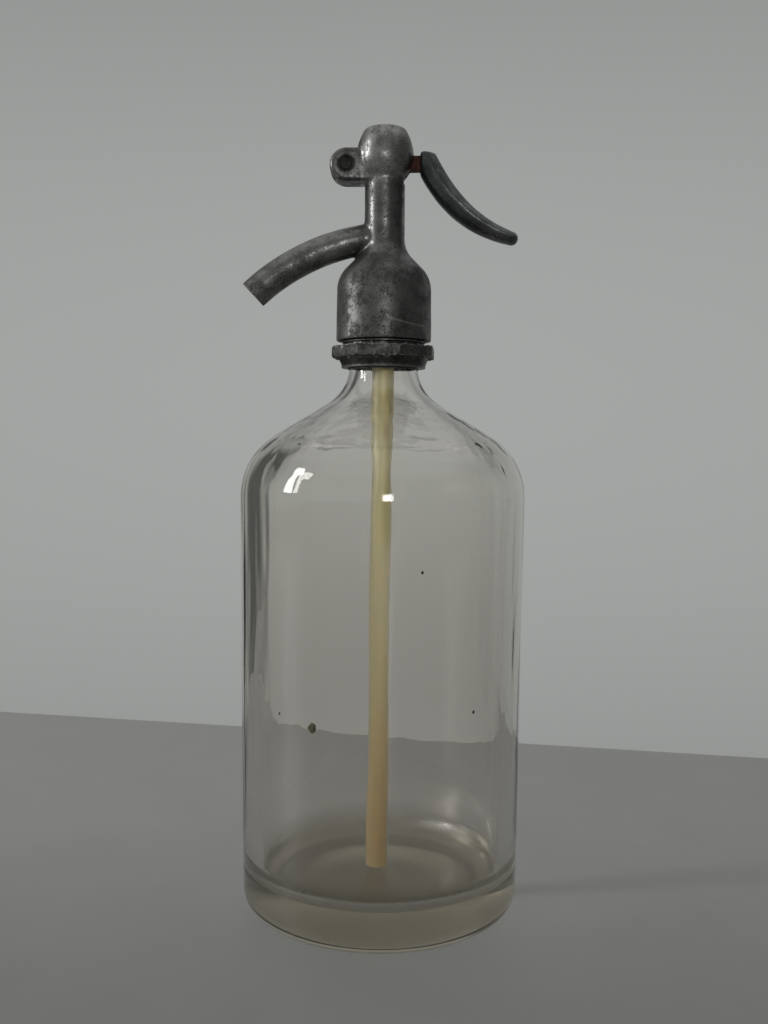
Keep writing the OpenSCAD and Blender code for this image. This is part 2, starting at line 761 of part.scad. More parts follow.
// A blend from a root value to a tip value with a value of its own at the middle
function along(t, root, middle, tip) =
    root * (1 - t) * (1 - 2 * t) + 4 * middle * t * (1 - t) + tip * t * (2 * t - 1);

// One ring of the handle: its place, direction, half depth and half width
function handle_ring(p, way, half_h, half_w) =
    [for (k = [0 : handle_sides - 1]) let (a = 360 * k / handle_sides,
                                           up = half_h * cos(a), across = half_w * sin(a))
        [p[0] - pivot_x - way[1] * up, across, p[1] + pivot_z + way[0] * up]];

module lever_handle() {
    half_tip = handle_tip / 2;
    body = [for (i = [0 : handle_steps])
        let (t = handle_start + (1 - handle_start) * i / handle_steps, s = max(t, 0))
        handle_ring(handle_at(t), handle_way(t),
                    along(s, handle_root, handle_middle, handle_tip) / 2,
                    along(s, handle_end_w, handle_w, handle_end_w) / 2)];
    tip = [for (i = [1 : tip_steps]) let (a = tip_turn * i / tip_steps)
        handle_ring(handle_end + half_tip * sin(a) * handle_way(1), handle_way(1),
                    half_tip * cos(a), handle_end_w / 2 * cos(a))];
    color(dark_pewter) difference() {
        skin(concat(body, tip));
        translate([handle_x - handle_root, -handle_w, pivot_z - handle_root])
            cube([handle_root, 2 * handle_w, 3 * handle_root]);
        translate([handle_x - handle_root, -handle_w, pivot_z + handle_crown_h])
            cube([3 * handle_root, 2 * handle_w, 3 * handle_root]);
        translate([handle_x - over, -tang_w / 2 - fixed_gap,
                   push_z + (shank_h - tang_h) / 2 - fixed_gap])
            cube([tang_l + over + fixed_gap, tang_w + 2 * fixed_gap, tang_h + 2 * fixed_gap]);
    }
}

glass_base();
glass_wall();
glass_shoulder();
neck_gasket();
split_ring_front();
split_ring_back();
neck_collar();
head_casting();
pivot_pin();
cage_gasket();
valve_cage();
seat_gasket();
valve_seat();
tube_sleeve();
dip_tube();
return_spring();
plunger_rod();
piston_seal();
piston_washer();
valve_holder();
valve_disc();
valve_nut();
lever_shank();
lever_handle();
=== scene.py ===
"""Looks of the soda siphon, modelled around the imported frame.

Metres, +Z up, the origin at the centre of the base. The spout points to -X and the lever
to +X. Sizes in the classes below are in millimetres, as in the part's own source.
"""

import logging
import math
from collections.abc import Callable, Sequence
from dataclasses import dataclass
from enum import Enum

import bpy
from mathutils import Matrix, Vector


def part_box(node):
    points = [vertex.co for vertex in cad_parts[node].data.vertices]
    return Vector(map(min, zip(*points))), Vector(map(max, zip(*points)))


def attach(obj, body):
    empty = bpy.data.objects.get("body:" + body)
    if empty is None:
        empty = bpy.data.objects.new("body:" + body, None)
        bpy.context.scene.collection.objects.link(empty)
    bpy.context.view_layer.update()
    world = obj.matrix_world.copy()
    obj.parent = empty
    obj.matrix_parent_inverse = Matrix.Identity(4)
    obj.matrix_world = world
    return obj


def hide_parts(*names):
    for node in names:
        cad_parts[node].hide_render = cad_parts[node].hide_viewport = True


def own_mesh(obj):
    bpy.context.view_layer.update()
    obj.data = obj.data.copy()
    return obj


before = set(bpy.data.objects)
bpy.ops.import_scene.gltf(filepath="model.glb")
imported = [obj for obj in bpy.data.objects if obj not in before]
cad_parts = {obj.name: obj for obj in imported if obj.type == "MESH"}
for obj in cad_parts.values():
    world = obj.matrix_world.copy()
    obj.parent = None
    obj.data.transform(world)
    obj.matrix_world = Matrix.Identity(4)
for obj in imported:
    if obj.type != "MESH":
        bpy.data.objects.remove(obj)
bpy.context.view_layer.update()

MM = 0.001
FULL_TURN = 2 * math.pi
# Vertices closer than this, in metres, are one vertex
WELD = 2e-6
# How far a cutter reaches past what it cuts, in millimetres
OVER = 1.0
# A bevel rounds the edges whose faces meet at more than this angle
BEVELLED = math.radians(60)

log = logging.getLogger("siphon")

Point = tuple[float, float]
Colour = tuple[float, float, float]


class Body(Enum):
    """The rigid bodies of the frame that a piece can ride on."""

    STILL = "bottle_and_head"
    LEVER = "lever"
    PLUNGER = "plunger"


class Mode(Enum):
    """The two modes in which a mesh is worked on."""

    OBJECT = "OBJECT"
    EDIT = "EDIT"


# --------------------------------------------------------------------------- modelling


def arc(centre: Point, radius: float, start: float, end: float, steps: int = 12) -> list[Point]:
    """Points along a round stretch of an outline.

    Args:
        centre: Middle of the arc, as radius and height.
        radius: Radius of the arc.
        start: Angle of its first point in degrees, counted from level and outwards.
        end: Angle of its last point in degrees.
        steps: Number of equal steps between the two.

    Returns:
        The points in order, both ends included.
    """
    turns = [math.radians(start + (end - start) * i / steps) for i in range(steps + 1)]
    return [(centre[0] + radius * math.cos(a), centre[1] + radius * math.sin(a)) for a in turns]


def enter(mode: Mode) -> None:
    """Switches the active object to a mode, edit mode with its vertices to select.

    Args:
        mode: The mode to be in.
    """
    bpy.ops.object.mode_set(mode=mode.value)
    if mode is Mode.EDIT:
        bpy.ops.mesh.select_mode(type="VERT")


def clear_selection() -> None:
    """Leaves no object selected, so that an operator acts only on what comes next."""
    if bpy.context.object is not None and bpy.context.object.mode != Mode.OBJECT.value:
        enter(Mode.OBJECT)
    bpy.ops.object.select_all(action="DESELECT")


def take(*pieces: bpy.types.Object) -> bpy.types.Object:
    """Selects objects and makes the first of them the active one.

    Args:
        pieces: The objects, the one to work on first.

    Returns:
        The first of them.
    """
    clear_selection()
    for piece in pieces:
        piece.select_set(True)
    bpy.context.view_layer.objects.active = pieces[0]
    return pieces[0]


def settle(name: str) -> bpy.types.Object:
    """Names the new primitive and moves its place into its mesh.

    Args:
        name: Name of the object and of its mesh.

    Returns:
        The object.
    """
    piece = bpy.context.active_object
    piece.name = name
    piece.data.name = name
    bpy.ops.object.transform_apply(location=True, rotation=True, scale=True)
    return piece


def close_up() -> None:
    """Welds the mesh in edit mode and turns its faces outwards."""
    bpy.ops.mesh.select_all(action="SELECT")
    bpy.ops.mesh.remove_doubles(threshold=WELD)
    bpy.ops.mesh.normals_make_consistent(inside=False)


def turned(name: str, outline: Sequence[Point], steps: int = 96,
           turn: float = 360.0, start: float = 0.0) -> bpy.types.Object:
    """Turns an outline round the vertical axis, as on a lathe.

    Args:
        name: Name of the piece.
        outline: Radius and height of each corner in millimetres. It begins and ends on
            the axis, or comes back to its first point.
        steps: Number of faces round the axis.
        turn: Angle that is swept, in degrees. A part turn gets its two end faces.
        start: Angle of the first edge from +X, in degrees.

    Returns:
        The closed piece.
    """
    clear_selection()
    x, z = outline[0]
    bpy.ops.mesh.primitive_plane_add(size=MM, location=(x * MM, 0, z * MM))
    piece = settle(name)
    enter(Mode.EDIT)
    bpy.ops.mesh.select_all(action="SELECT")
    bpy.ops.mesh.merge(type="CENTER")
    for (x, z), (next_x, next_z) in zip(outline, outline[1:]):
        step = ((next_x - x) * MM, 0, (next_z - z) * MM)
        bpy.ops.mesh.extrude_region_move(TRANSFORM_OT_translate={"value": step})
    bpy.ops.mesh.select_all(action="SELECT")
    part = turn < 360
    if part:
        bpy.ops.mesh.remove_doubles(threshold=WELD)
        bpy.ops.mesh.edge_face_add()
    bpy.ops.mesh.spin(steps=steps, angle=math.radians(turn), center=(0, 0, 0), axis=(0, 0, 1))
    close_up()
    enter(Mode.OBJECT)
    if start:
        piece.rotation_euler = (0, 0, math.radians(start))
        bpy.ops.object.transform_apply(rotation=True)
    return piece


def rod(name: str, radius: float, length: float, middle: Sequence[float],
        tilt: Sequence[float] = (0, 0, 0), sides: int = 64) -> bpy.types.Object:
    """A cylinder, round the vertical axis until it is tilted.

    Args:
        name: Name of the piece.
        radius: Its radius in millimetres.
        length: Its length in millimetres.
        middle: Its middle in millimetres.
        tilt: Turns about X, Y and Z in degrees.
        sides: Number of faces round it.

    Returns:
        The closed piece.
    """
    clear_selection()
    bpy.ops.mesh.primitive_cylinder_add(
        vertices=sides, radius=radius * MM, depth=length * MM,
        location=Vector(middle) * MM, rotation=[math.radians(t) for t in tilt])
    return settle(name)


def block(name: str, low: Sequence[float], high: Sequence[float]) -> bpy.types.Object:
    """A box between two corners.

    Args:
        name: Name of the piece.
        low: The corner with the lowest coordinates, in millimetres.
        high: The corner with the highest.

    Returns:
        The closed piece.
    """
    clear_selection()
    low_corner, high_corner = Vector(low) * MM, Vector(high) * MM
    bpy.ops.mesh.primitive_cube_add(size=1, location=(low_corner + high_corner) / 2,
                                    scale=high_corner - low_corner)
    return settle(name)


def modify(piece: bpy.types.Object, kind: str, **settings: object) -> None:
    """Adds a modifier with its settings and applies it at once.

    Args:
        piece: The mesh object.
        kind: Blender's name of the modifier type.
        settings: The modifier's own properties.
    """
    take(piece)
    modifier = piece.modifiers.new(kind.lower(), kind)
    for key, value in settings.items():
        setattr(modifier, key, value)
    bpy.ops.object.modifier_apply(modifier=modifier.name)


def join(name: str, *pieces: bpy.types.Object) -> bpy.types.Object:
    """Joins pieces into one object.

    Args:
        name: Name of what comes out.
        pieces: The objects to join.

    Returns:
        The one object.
    """
    piece = take(*pieces)
    bpy.ops.object.join()
    piece.name = name
    piece.data.name = name
    return piece


def carve(piece: bpy.types.Object, *cutters: bpy.types.Object, how: str = "DIFFERENCE") -> None:
    """Cuts pieces away from a piece, or unites or intersects them, and removes the cutters.

    Args:
        piece: The mesh object that is worked on.
        cutters: The closed pieces that it is worked with, in order.
        how: Blender's name of the operation.
    """
    for cutter in cutters:
        modify(piece, "BOOLEAN", object=cutter, operation=how, solver="MANIFOLD")
        bpy.data.objects.remove(cutter)


def mark(piece: bpy.types.Object, group: str, wanted: Callable[[Vector], float]) -> None:
    """Gives each vertex a weight in a vertex group.

    Args:
        piece: The mesh object.
        group: Name of the group, made here.
        wanted: Weight from 0 to 1 of a place given in millimetres.
    """
    marked = piece.vertex_groups.new(name=group)
    for vertex in piece.data.vertices:
        weight = wanted(vertex.co / MM)
        if weight > 0:
            marked.add([vertex.index], min(weight, 1.0), "REPLACE")


def soften(piece: bpy.types.Object, rounds: int, group: str = "", factor: float = 0.5) -> None:
    """Smooths a mesh, all over or where a vertex group says."""
    modify(piece, "SMOOTH", iterations=rounds, factor=factor, vertex_group=group)


def dent(piece: bpy.types.Object, grain: float, depth: float, group: str = "") -> None:
    """Moves a surface in and out by small lumps.

    Args:
        piece: The mesh object.
        grain: Size of a lump in millimetres.
        depth: Height of the lumps in millimetres, from the lowest to the highest.
        group: Vertex group that limits them, or nothing.
    """
    lumps = bpy.data.textures.new(f"{piece.name}_lumps", "CLOUDS")
    lumps.noise_scale = grain * MM
    lumps.noise_depth = 3
    modify(piece, "DISPLACE", texture=lumps, texture_coords="LOCAL", strength=depth * MM,
           mid_level=0.5, vertex_group=group)


def polish(piece: bpy.types.Object, angle: float = 35.0) -> None:
    """Shades a piece smooth, apart from edges sharper than an angle in degrees."""
    take(piece)
    bpy.ops.object.shade_smooth_by_angle(angle=math.radians(angle))


def select_edges(piece: bpy.types.Object, wanted: Callable[[Vector, Vector], bool]) -> None:
    """Selects edges by the places of their two ends, and enters edit mode.

    Args:
        piece: The mesh object.
        wanted: Whether to take the edge between two places, given in millimetres.
    """
    take(piece)
    enter(Mode.EDIT)
    bpy.ops.mesh.select_mode(type="EDGE")
    bpy.ops.mesh.select_all(action="DESELECT")
    enter(Mode.OBJECT)
    places = [v.co / MM for v in piece.data.vertices]
    for edge in piece.data.edges:
        edge.select = wanted(places[edge.vertices[0]], places[edge.vertices[1]])
    enter(Mode.EDIT)


def place_piece(piece: bpy.types.Object, body: Body, slot: str, *nodes: str) -> None:
    """Puts a finished piece on its body, in place of CAD nodes.

    Args:
        piece: The finished mesh object.
        body: The body that it moves with.
        slot: Name of a material slot; not used.
        nodes: The CAD nodes that it stands for.
    """
    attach(piece, body.value)
    if nodes:
        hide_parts(*nodes)
    log.info("%s: %d faces for %s", piece.name, len(piece.data.polygons), ", ".join(nodes))


# --------------------------------------------------------------------------- materials


class Graph:
    """A node tree that is written as calls, each of which returns a socket."""

    def __init__(self, tree: bpy.types.NodeTree) -> None:
        """Takes the tree that the calls add to."""
        self.tree = tree

    def add(self, kind: str, inputs: dict | None = None, **settings: object) -> bpy.types.Node:
        """Adds a node.

        Args:
            kind: Blender's name of the node type.
            inputs: Value or socket for each input, by its name or number.
            settings: The node's own properties.

        Returns:
            The node.
        """
        node = self.tree.nodes.new(kind)
        for key, value in settings.items():
            setattr(node, key, value)
        for key, value in (inputs or {}).items():
            self.feed(node.inputs[key], value)
        return node

    def feed(self, socket: bpy.types.NodeSocket, value: object) -> None:
        """Links a socket to another, or sets its value.

        Args:
            socket: The input to feed.
            value: A socket or a plain value.
        """
        if isinstance(value, bpy.types.NodeSocket):
            self.tree.links.new(value, socket)
        else:
            socket.default_value = value

    def math(self, operation: str, *values: object, clamp: bool = False) -> bpy.types.NodeSocket:
        """The result of a Math node.

        Args:
            operation: Blender's name of the operation.
            values: Its inputs, each a socket or a number.
            clamp: Whether to keep the result between 0 and 1.

        Returns:
            The result.
        """
        node = self.add("ShaderNodeMath", dict(enumerate(values)), operation=operation)
        node.use_clamp = clamp
        return node.outputs[0]

    def axes(self, vector: object) -> bpy.types.NodeOutputs:
        """The three parts of a vector, by the letters X, Y and Z."""
        return self.add("ShaderNodeSeparateXYZ", {0: vector}).outputs

    def scaled(self, vector: object, factors: object) -> bpy.types.NodeSocket:
        """A vector or colour times a factor for each part, or one socket for all of them."""
        return self.add("ShaderNodeVectorMath", {0: vector, 1: factors},
                        operation="MULTIPLY").outputs[0]

    def distance(self, vector: object, place: Sequence[float]) -> bpy.types.NodeSocket:
        """The distance of a vector from a place."""
        return self.add("ShaderNodeVectorMath", {0: vector, 1: place},
                        operation="DISTANCE").outputs["Value"]

    def remap(self, value: object, low: float, high: float,
              to_low: float = 0.0, to_high: float = 1.0) -> bpy.types.NodeSocket:
        """A value moved smoothly from one range to another and kept inside it.

        Args:
            value: A socket or a number.
            low: Start of the range that it comes from.
            high: End of that range, which may be the lower.
            to_low: Value at the start.
            to_high: Value at the end.

        Returns:
            The moved value.
        """
        return self.add("ShaderNodeMapRange", {
            "Value": value, "From Min": low, "From Max": high,
            "To Min": to_low, "To Max": to_high}, interpolation_type="SMOOTHSTEP").outputs[0]

    def noise(self, vector: object, scale: object, detail: float = 4.0,
              roughness: float = 0.5) -> bpy.types.NodeSocket:
        """The value of a Noise node.

        Args:
            vector: Coordinates in millimetres.
            scale: Number of lumps to a millimetre.
            detail: Number of finer layers.
            roughness: Share that each finer layer has.

        Returns:
            A value round 0.5.
        """
        return self.add("ShaderNodeTexNoise", {
            "Vector": vector, "Scale": scale, "Detail": detail,
            "Roughness": roughness}).outputs[0]

    def blend(self, factor: object, first: object, second: object) -> bpy.types.NodeSocket:
        """A mix of two colours.

        Args:
            factor: Share of the second colour.
            first: A socket or a colour.
            second: A socket or a colour.

        Returns:
            The mixed colour.
        """
        node = self.add("ShaderNodeMix", data_type="RGBA")
        sockets = {s.identifier: s for s in node.inputs}
        for key, value in (("Factor_Float", factor), ("A_Color", first), ("B_Color", second)):
            if isinstance(value, tuple) and len(value) == 3:
                value = (*value, 1.0)
            self.feed(sockets[key], value)
        return next(s for s in node.outputs if s.identifier == "Result_Color")

    def bump(self, height: object, depth: float, under: object = None) -> bpy.types.NodeSocket:
        """A normal from a height, with the depth of height 1 in millimetres.

        Args:
            height: Height from 0 to 1.
            depth: Depth of height 1 in millimetres. Below 0 it goes inwards.
            under: The normal of a coarser relief, or nothing.

        Returns:
            The normal.
        """
        inputs = {"Height": height, "Distance": depth * MM, "Strength": 1.0}
        if under is not None:
            inputs["Normal"] = under
        return self.add("ShaderNodeBump", inputs).outputs[0]

    def millimetres(self) -> bpy.types.NodeSocket:
        """The piece's own coordinates in millimetres."""
        place = self.add("ShaderNodeTexCoord").outputs["Object"]
        return self.scaled(place, (1 / MM,) * 3)


@dataclass(frozen=True)
class Effect:
    """A node group with named inputs and outputs that several materials share."""

    name: str
    inputs: dict[str, float]
    outputs: tuple[str, ...]
    draw: Callable[[Graph, dict], dict]

    def tree(self) -> bpy.types.NodeTree:
        """The group's node tree, which is built the first time it is asked for.

        Returns:
            The node tree.
        """
        ready = bpy.data.node_groups.get(self.name)
        if ready is not None:
            return ready
        group = bpy.data.node_groups.new(self.name, "ShaderNodeTree")
        group.interface.new_socket("Vector", in_out="INPUT", socket_type="NodeSocketVector")
        for key, value in self.inputs.items():
            socket = group.interface.new_socket(key, in_out="INPUT",
                                                socket_type="NodeSocketFloat")
            socket.default_value = value
        for key in self.outputs:
            group.interface.new_socket(key, in_out="OUTPUT", socket_type="NodeSocketFloat")
        graph = Graph(group)
        entry = graph.add("NodeGroupInput")
        results = self.draw(graph, {s.name: s for s in entry.outputs if s.name})
        graph.add("NodeGroupOutput", results)
        return group

    def use(self, graph: Graph, vector: object, **values: float) -> dict:
        """Places the group in a material.

        Args:
            graph: The material's graph.
            vector: Coordinates in millimetres.
            values: The group's own inputs, with an underscore for each space.

        Returns:
            Each output socket by its name.
        """
        node = graph.add("ShaderNodeGroup", node_tree=self.tree())
        graph.feed(node.inputs["Vector"], vector)
        for key, value in values.items():
            graph.feed(node.inputs[key.replace("_", " ")], value)
        return {s.name: s for s in node.outputs}


def draw_mottle(g: Graph, given: dict) -> dict:
    """Cloudy patches with a finer grain inside them, for uneven metal.

    Args:
        g: The group's graph.
        given: The group's inputs by name.

    Returns:
        The outputs by name.
    """
    clouds = g.noise(given["Vector"], given["Scale"], 5.0, 0.62)
    grain = g.noise(given["Vector"], g.math("MULTIPLY", given["Scale"], 7.3), 3.0, 0.7)
    both = g.math("MULTIPLY_ADD", grain, 0.35, g.math("MULTIPLY", clouds, 0.65))
    return {"Mask": g.remap(both, 0.36, 0.64)}


def draw_pits(g: Graph, given: dict) -> dict:
    """Small round holes, only where a slow noise lets them be.

    Args:
        g: The group's graph.
        given: The group's inputs by name.

    Returns:
        The outputs by name.
    """
    cells = g.add("ShaderNodeTexVoronoi", {"Vector": given["Vector"], "Scale": given["Scale"],
                                           "Randomness": 1.0}).outputs["Distance"]
    holes = g.remap(cells, 0.10, 0.24, 1.0, 0.0)
    field_of_pits = g.noise(given["Vector"], g.math("MULTIPLY", given["Scale"], 0.31), 2.0)
    edge = g.math("SUBTRACT", 1.0, given["Amount"])
    allowed = g.math("MULTIPLY", g.math("SUBTRACT", field_of_pits, g.math("MULTIPLY", edge, 0.62)),
                     9.0, clamp=True)
    return {"Mask": g.math("MULTIPLY", holes, allowed)}


def draw_turning(g: Graph, given: dict) -> dict:
    """Fine rings left by the lathe round the vertical axis.

    Args:
        g: The group's graph.
        given: The group's inputs by name.

    Returns:
        The outputs by name.
    """
    stretched = g.scaled(given["Vector"], (0.03, 0.03, 1.0))
    rings = g.noise(stretched, given["Rings per mm"], 3.0, 0.75)
    broken = g.remap(g.noise(given["Vector"], 0.22, 2.0), 0.35, 0.62)
    return {"Height": g.math("MULTIPLY", rings, g.math("MULTIPLY_ADD", broken, 0.7, 0.3))}


def draw_edges(g: Graph, given: dict) -> dict:
    """Where the surface is an outer edge, rubbed bright with a painted highlight, and where it is
    an inner corner, darkened by dirt and painted shade.

    Args:
        g: The group's graph.
        given: The group's inputs by name.

    Returns:
        The outputs by name.
    """
    pointed = g.add("ShaderNodeNewGeometry").outputs["Pointiness"]
    ragged = g.math("MULTIPLY_ADD", g.noise(given["Vector"], given["Grain"], 4.0, 0.7), 0.06, -0.03)
    uneven = g.math("ADD", pointed, ragged)
    # Painted highlight with wear on outer edges, painted shade with dirt in inner corners
    return {"Rubbed": g.remap(uneven, 0.515, 0.575), "Dirty": g.remap(uneven, 0.485, 0.44)}


MOTTLE = Effect("mottle", {"Scale": 0.2}, ("Mask",), draw_mottle)
PITS = Effect("pits", {"Scale": 1.0, "Amount": 0.5}, ("Mask",), draw_pits)
TURNING = Effect("turning_rings", {"Rings per mm": 5.0}, ("Height",), draw_turning)
EDGES = Effect("edge_wear_and_light", {"Grain": 1.5}, ("Rubbed", "Dirty"), draw_edges)


@dataclass(frozen=True)
class Finish:
    """A material: subclasses say what feeds the shader."""

    name: str

    def material(self) -> bpy.types.Material:
        """The material, which is built the first time it is asked for.

        Returns:
            The material.
        """
        ready = bpy.data.materials.get(self.name)
        if ready is not None:
            return ready
        made = bpy.data.materials.new(self.name)
        made.use_nodes = True
        graph = Graph(made.node_tree)
        shader = made.node_tree.nodes["Principled BSDF"]
        for key, value in self.inputs(graph).items():
            graph.feed(shader.inputs[key], value)
        self.extras(graph, made.node_tree.nodes["Material Output"])
        return made

    def inputs(self, graph: Graph) -> dict:
        """Value or socket for each input of the shader."""
        raise NotImplementedError

    def extras(self, graph: Graph, output: bpy.types.Node) -> None:
        """Anything else that the material's output takes."""

    def dress(self, *pieces: bpy.types.Object) -> None:
        """Puts the material in every slot of each piece.

        Args:
            pieces: The mesh objects.
        """
        for piece in pieces:
            if not piece.material_slots:
                piece.data.materials.append(self.material())
            for one in piece.material_slots:
                one.material = self.material()


@dataclass(frozen=True)
class Pewter(Finish):
    """Dull cast pewter, mottled and pitted, with turning rings, dirt with painted shade in inner
    corners, and outer edges rubbed bright with a painted highlight.
    """

    dark: Colour = (0.07, 0.07, 0.068)
    light: Colour = (0.19, 0.19, 0.184)
    gloss: Point = (0.36, 0.58)
    rings: float = 0.012
    pit_scale: float = 0.85
    pits: float = 0.5
    wear_and_highlight: float = 0.6
    metallic: float = 0.92
    mottle_scale: float = 0.16
    rings_per_mm: float = 4.5
    edge_grain: float = 1.4
    cast_grain: float = 2.6
    cast_depth: float = 0.018
    pit_depth: float = 0.09
    # Colours of the dirt with painted shade and of the worn edges with a painted highlight
    dirt_and_shade: Colour = (0.035, 0.034, 0.03)
    rubbed_and_highlit: Colour = (0.36, 0.355, 0.345)
    pit_colour: Colour = (0.02, 0.02, 0.018)

    def tones(self, g: Graph, place: bpy.types.NodeSocket, colour: object) -> object:
        """Colour with any marks of one piece added. Subclasses use it."""
        return colour

    def shine(self, g: Graph, place: bpy.types.NodeSocket, roughness: object) -> object:
        """Roughness with any change over one piece. Subclasses use it."""
        return roughness

    def inputs(self, graph: Graph) -> dict:
        """Colour, roughness and relief from the shared effects.

        Args:
            graph: The graph of the material.

        Returns:
            The shader's inputs by name.
        """
        g = graph
        place = g.millimetres()
        mottle = MOTTLE.use(g, place, Scale=self.mottle_scale)["Mask"]
        pits = PITS.use(g, place, Scale=self.pit_scale, Amount=self.pits)["Mask"]
        edges = EDGES.use(g, place, Grain=self.edge_grain)
        colour = g.blend(mottle, self.dark, self.light)
        # Dirt with painted shade in inner corners, then worn edges with a painted highlight
        colour = g.blend(g.math("MULTIPLY", edges["Dirty"], 0.75), colour, self.dirt_and_shade)
        colour = g.blend(g.math("MULTIPLY", edges["Rubbed"], self.wear_and_highlight), colour, self.rubbed_and_highlit)
        colour = g.blend(g.math("MULTIPLY", pits, 0.85), colour, self.pit_colour)
        colour = self.tones(g, place, colour)
        rings = TURNING.use(g, place, Rings_per_mm=self.rings_per_mm)["Height"]
        cast = g.noise(place, self.cast_grain, 4.0, 0.65)
        relief = g.bump(cast, self.cast_depth, g.bump(rings, self.rings))
        relief = g.bump(pits, -self.pit_depth, relief)
        roughness = g.remap(mottle, 0.0, 1.0, self.gloss[1], self.gloss[0])
        return {"Base Color": colour, "Metallic": self.metallic,
                "Roughness": self.shine(g, place, roughness), "Normal": relief}


@dataclass(frozen=True)
class HeadPewter(Pewter):
    """The head's pewter, with a rust stain beside the shank, a pale scratch on the bell, painted
    light and shade by region, and grime with painted shade round the pin.
    """

    stain_at: tuple[float, float, float] = (10.6, -1.5, 273.5)
    stain_r: Point = (4.2, 6.6)
    stain_share: float = 0.55
    stain: Colour = (0.10, 0.055, 0.03)
    scratch_from: Point = (0.5, 218.6)
    scratch_to: Point = (15.4, 215.7)
    scratch_sag: float = 0.012
    scratch_share: float = 0.55
    scratch: Colour = (0.30, 0.295, 0.285)
    # Grime with painted shade: a near black ring round the pin, where its recess lies in shade
    grime_and_shade_r: Point = (3.2, 4.6)
    grime_and_shade_share: float = 0.92
    grime_and_shade: Colour = (0.012, 0.012, 0.011)
    bell_top: float = 238.0
    ball_foot: float = 268.0
    # Gains of the painted light and shade: the bell darker, the column, the ball and the spout
    # paler, the lug darker
    bell_gain: float = 0.84
    column_gain: float = 1.1
    ball_painted_light: float = 1.1
    spout_painted_light: float = 0.32
    lug_shade: float = -1.15

    def tones(self, g: Graph, place: bpy.types.NodeSocket, colour: object) -> object:
        """Adds the painted light and shade by region, the stain, the scratch, and the grime with
        painted shade round the pin.

        Args:
            g: The graph that the nodes go into.
            place: Coordinates in millimetres.
            colour: The plain metal's colour.

        Returns:
            The colour with the marks.
        """
        # Painted light and shade: the ball, the column and the spout paler, the bell and the lug
        # darker
        colour = g.scaled(colour, self.painted_light_and_shade(g, place))
        ragged = g.math("MULTIPLY", g.noise(place, 0.5, 3.0), 3.0)
        reach = g.math("ADD", g.distance(place, self.stain_at), ragged)
        stained = g.remap(reach, *self.stain_r, self.stain_share, 0.0)
        colour = g.blend(stained, colour, self.stain)
        scratched = g.math("MULTIPLY", self.scratch_mask(g, place), self.scratch_share)
        colour = g.blend(scratched, colour, self.scratch)
        # Grime with painted shade round the pin
        off_pin = g.distance(g.scaled(place, (1.0, 0.0, 1.0)), (PIVOT.x, 0.0, PIVOT.z))
        off_pin = g.math("ADD", off_pin, g.noise(place, 0.8, 3.0))
        near_pin = g.remap(off_pin, *self.grime_and_shade_r, self.grime_and_shade_share, 0.0)
        return g.blend(near_pin, colour, self.grime_and_shade)

    def painted_light_and_shade(self, g: Graph, place: bpy.types.NodeSocket) -> bpy.types.NodeSocket:
        """The painted light and shade: a gain that makes the bell darker, the column and the spout
        paler, the ball paler most on its left, and the lug darker.

        Args:
            g: The graph that the nodes go into.
            place: Coordinates in millimetres.

        Returns:
            The factor for the colour.
        """
        axes = g.axes(place)
        above_spout = g.remap(axes["Z"], 262.0, 266.0)
        below_lug = g.remap(axes["Z"], 258.0, 262.0, 1.0, 0.0)
        body = g.remap(axes["Z"], self.bell_top - 6, self.bell_top + 2,
                       self.bell_gain, self.column_gain)
        ball = g.math("MULTIPLY", g.remap(axes["Z"], self.ball_foot - 2, self.ball_foot + 2,
                                          0.0, self.ball_painted_light),
                      g.remap(axes["X"], 1.0, 8.0, 1.0, 0.25))
        spout = g.math("MULTIPLY", g.remap(axes["X"], -13.0, -9.0, self.spout_painted_light, 0.0),
                       below_lug)
        lug = g.math("MULTIPLY", g.remap(axes["X"], -9.4, -8.2, self.lug_shade, 0.0),
                     above_spout)
        return g.math("ADD", g.math("ADD", body, ball), g.math("ADD", spout, lug))

    def scratch_mask(self, g: Graph, place: bpy.types.NodeSocket) -> bpy.types.NodeSocket:
        """The scratch as a sagging line of uneven width on the bell's front.

        Args:
            g: The graph that the nodes go into.
            place: Coordinates in millimetres.

        Returns:
            1 on the scratch and 0 away from it.
        """
        axes = g.axes(place)
        (x0, z0), (x1, z1) = self.scratch_from, self.scratch_to
        slope = (z1 - z0) / (x1 - x0)
        sag = g.math("MULTIPLY", g.math("MULTIPLY", g.math("SUBTRACT", axes["X"], x0),
                                        g.math("SUBTRACT", axes["X"], x1)), self.scratch_sag)
        line = g.math("ADD", g.math("MULTIPLY_ADD", axes["X"], slope, z0 - slope * x0), sag)
        off_line = g.math("ABSOLUTE", g.math("SUBTRACT", axes["Z"], line))
        width = g.math("MULTIPLY_ADD", g.noise(place, 0.9, 2.0), 0.5, 0.02)
        on_line = g.remap(g.math("SUBTRACT", off_line, width), 0.0, 0.14, 1.0, 0.0)
        along = g.math("MULTIPLY", g.remap(axes["X"], x0, x0 + 1.5),
                       g.remap(axes["X"], x1 - 1.0, x1, 1.0, 0.0))
        front = g.math("LESS_THAN", axes["Y"], 0.0)
        return g.math("MULTIPLY", g.math("MULTIPLY", on_line, along), front)

    def shine(self, g: Graph, place: bpy.types.NodeSocket, roughness: object) -> object:
        """Smoother where hands rub it, from the column up.

        Args:
            g: The graph that the nodes go into.
            place: Coordinates in millimetres.
            roughness: The plain metal's roughness.

        Returns:
            The roughness by height.
        """
        height = g.axes(place)["Z"]
        return g.math("ADD", roughness, g.remap(height, self.bell_top - 8, self.bell_top + 6,
                                                0.05, -0.09))


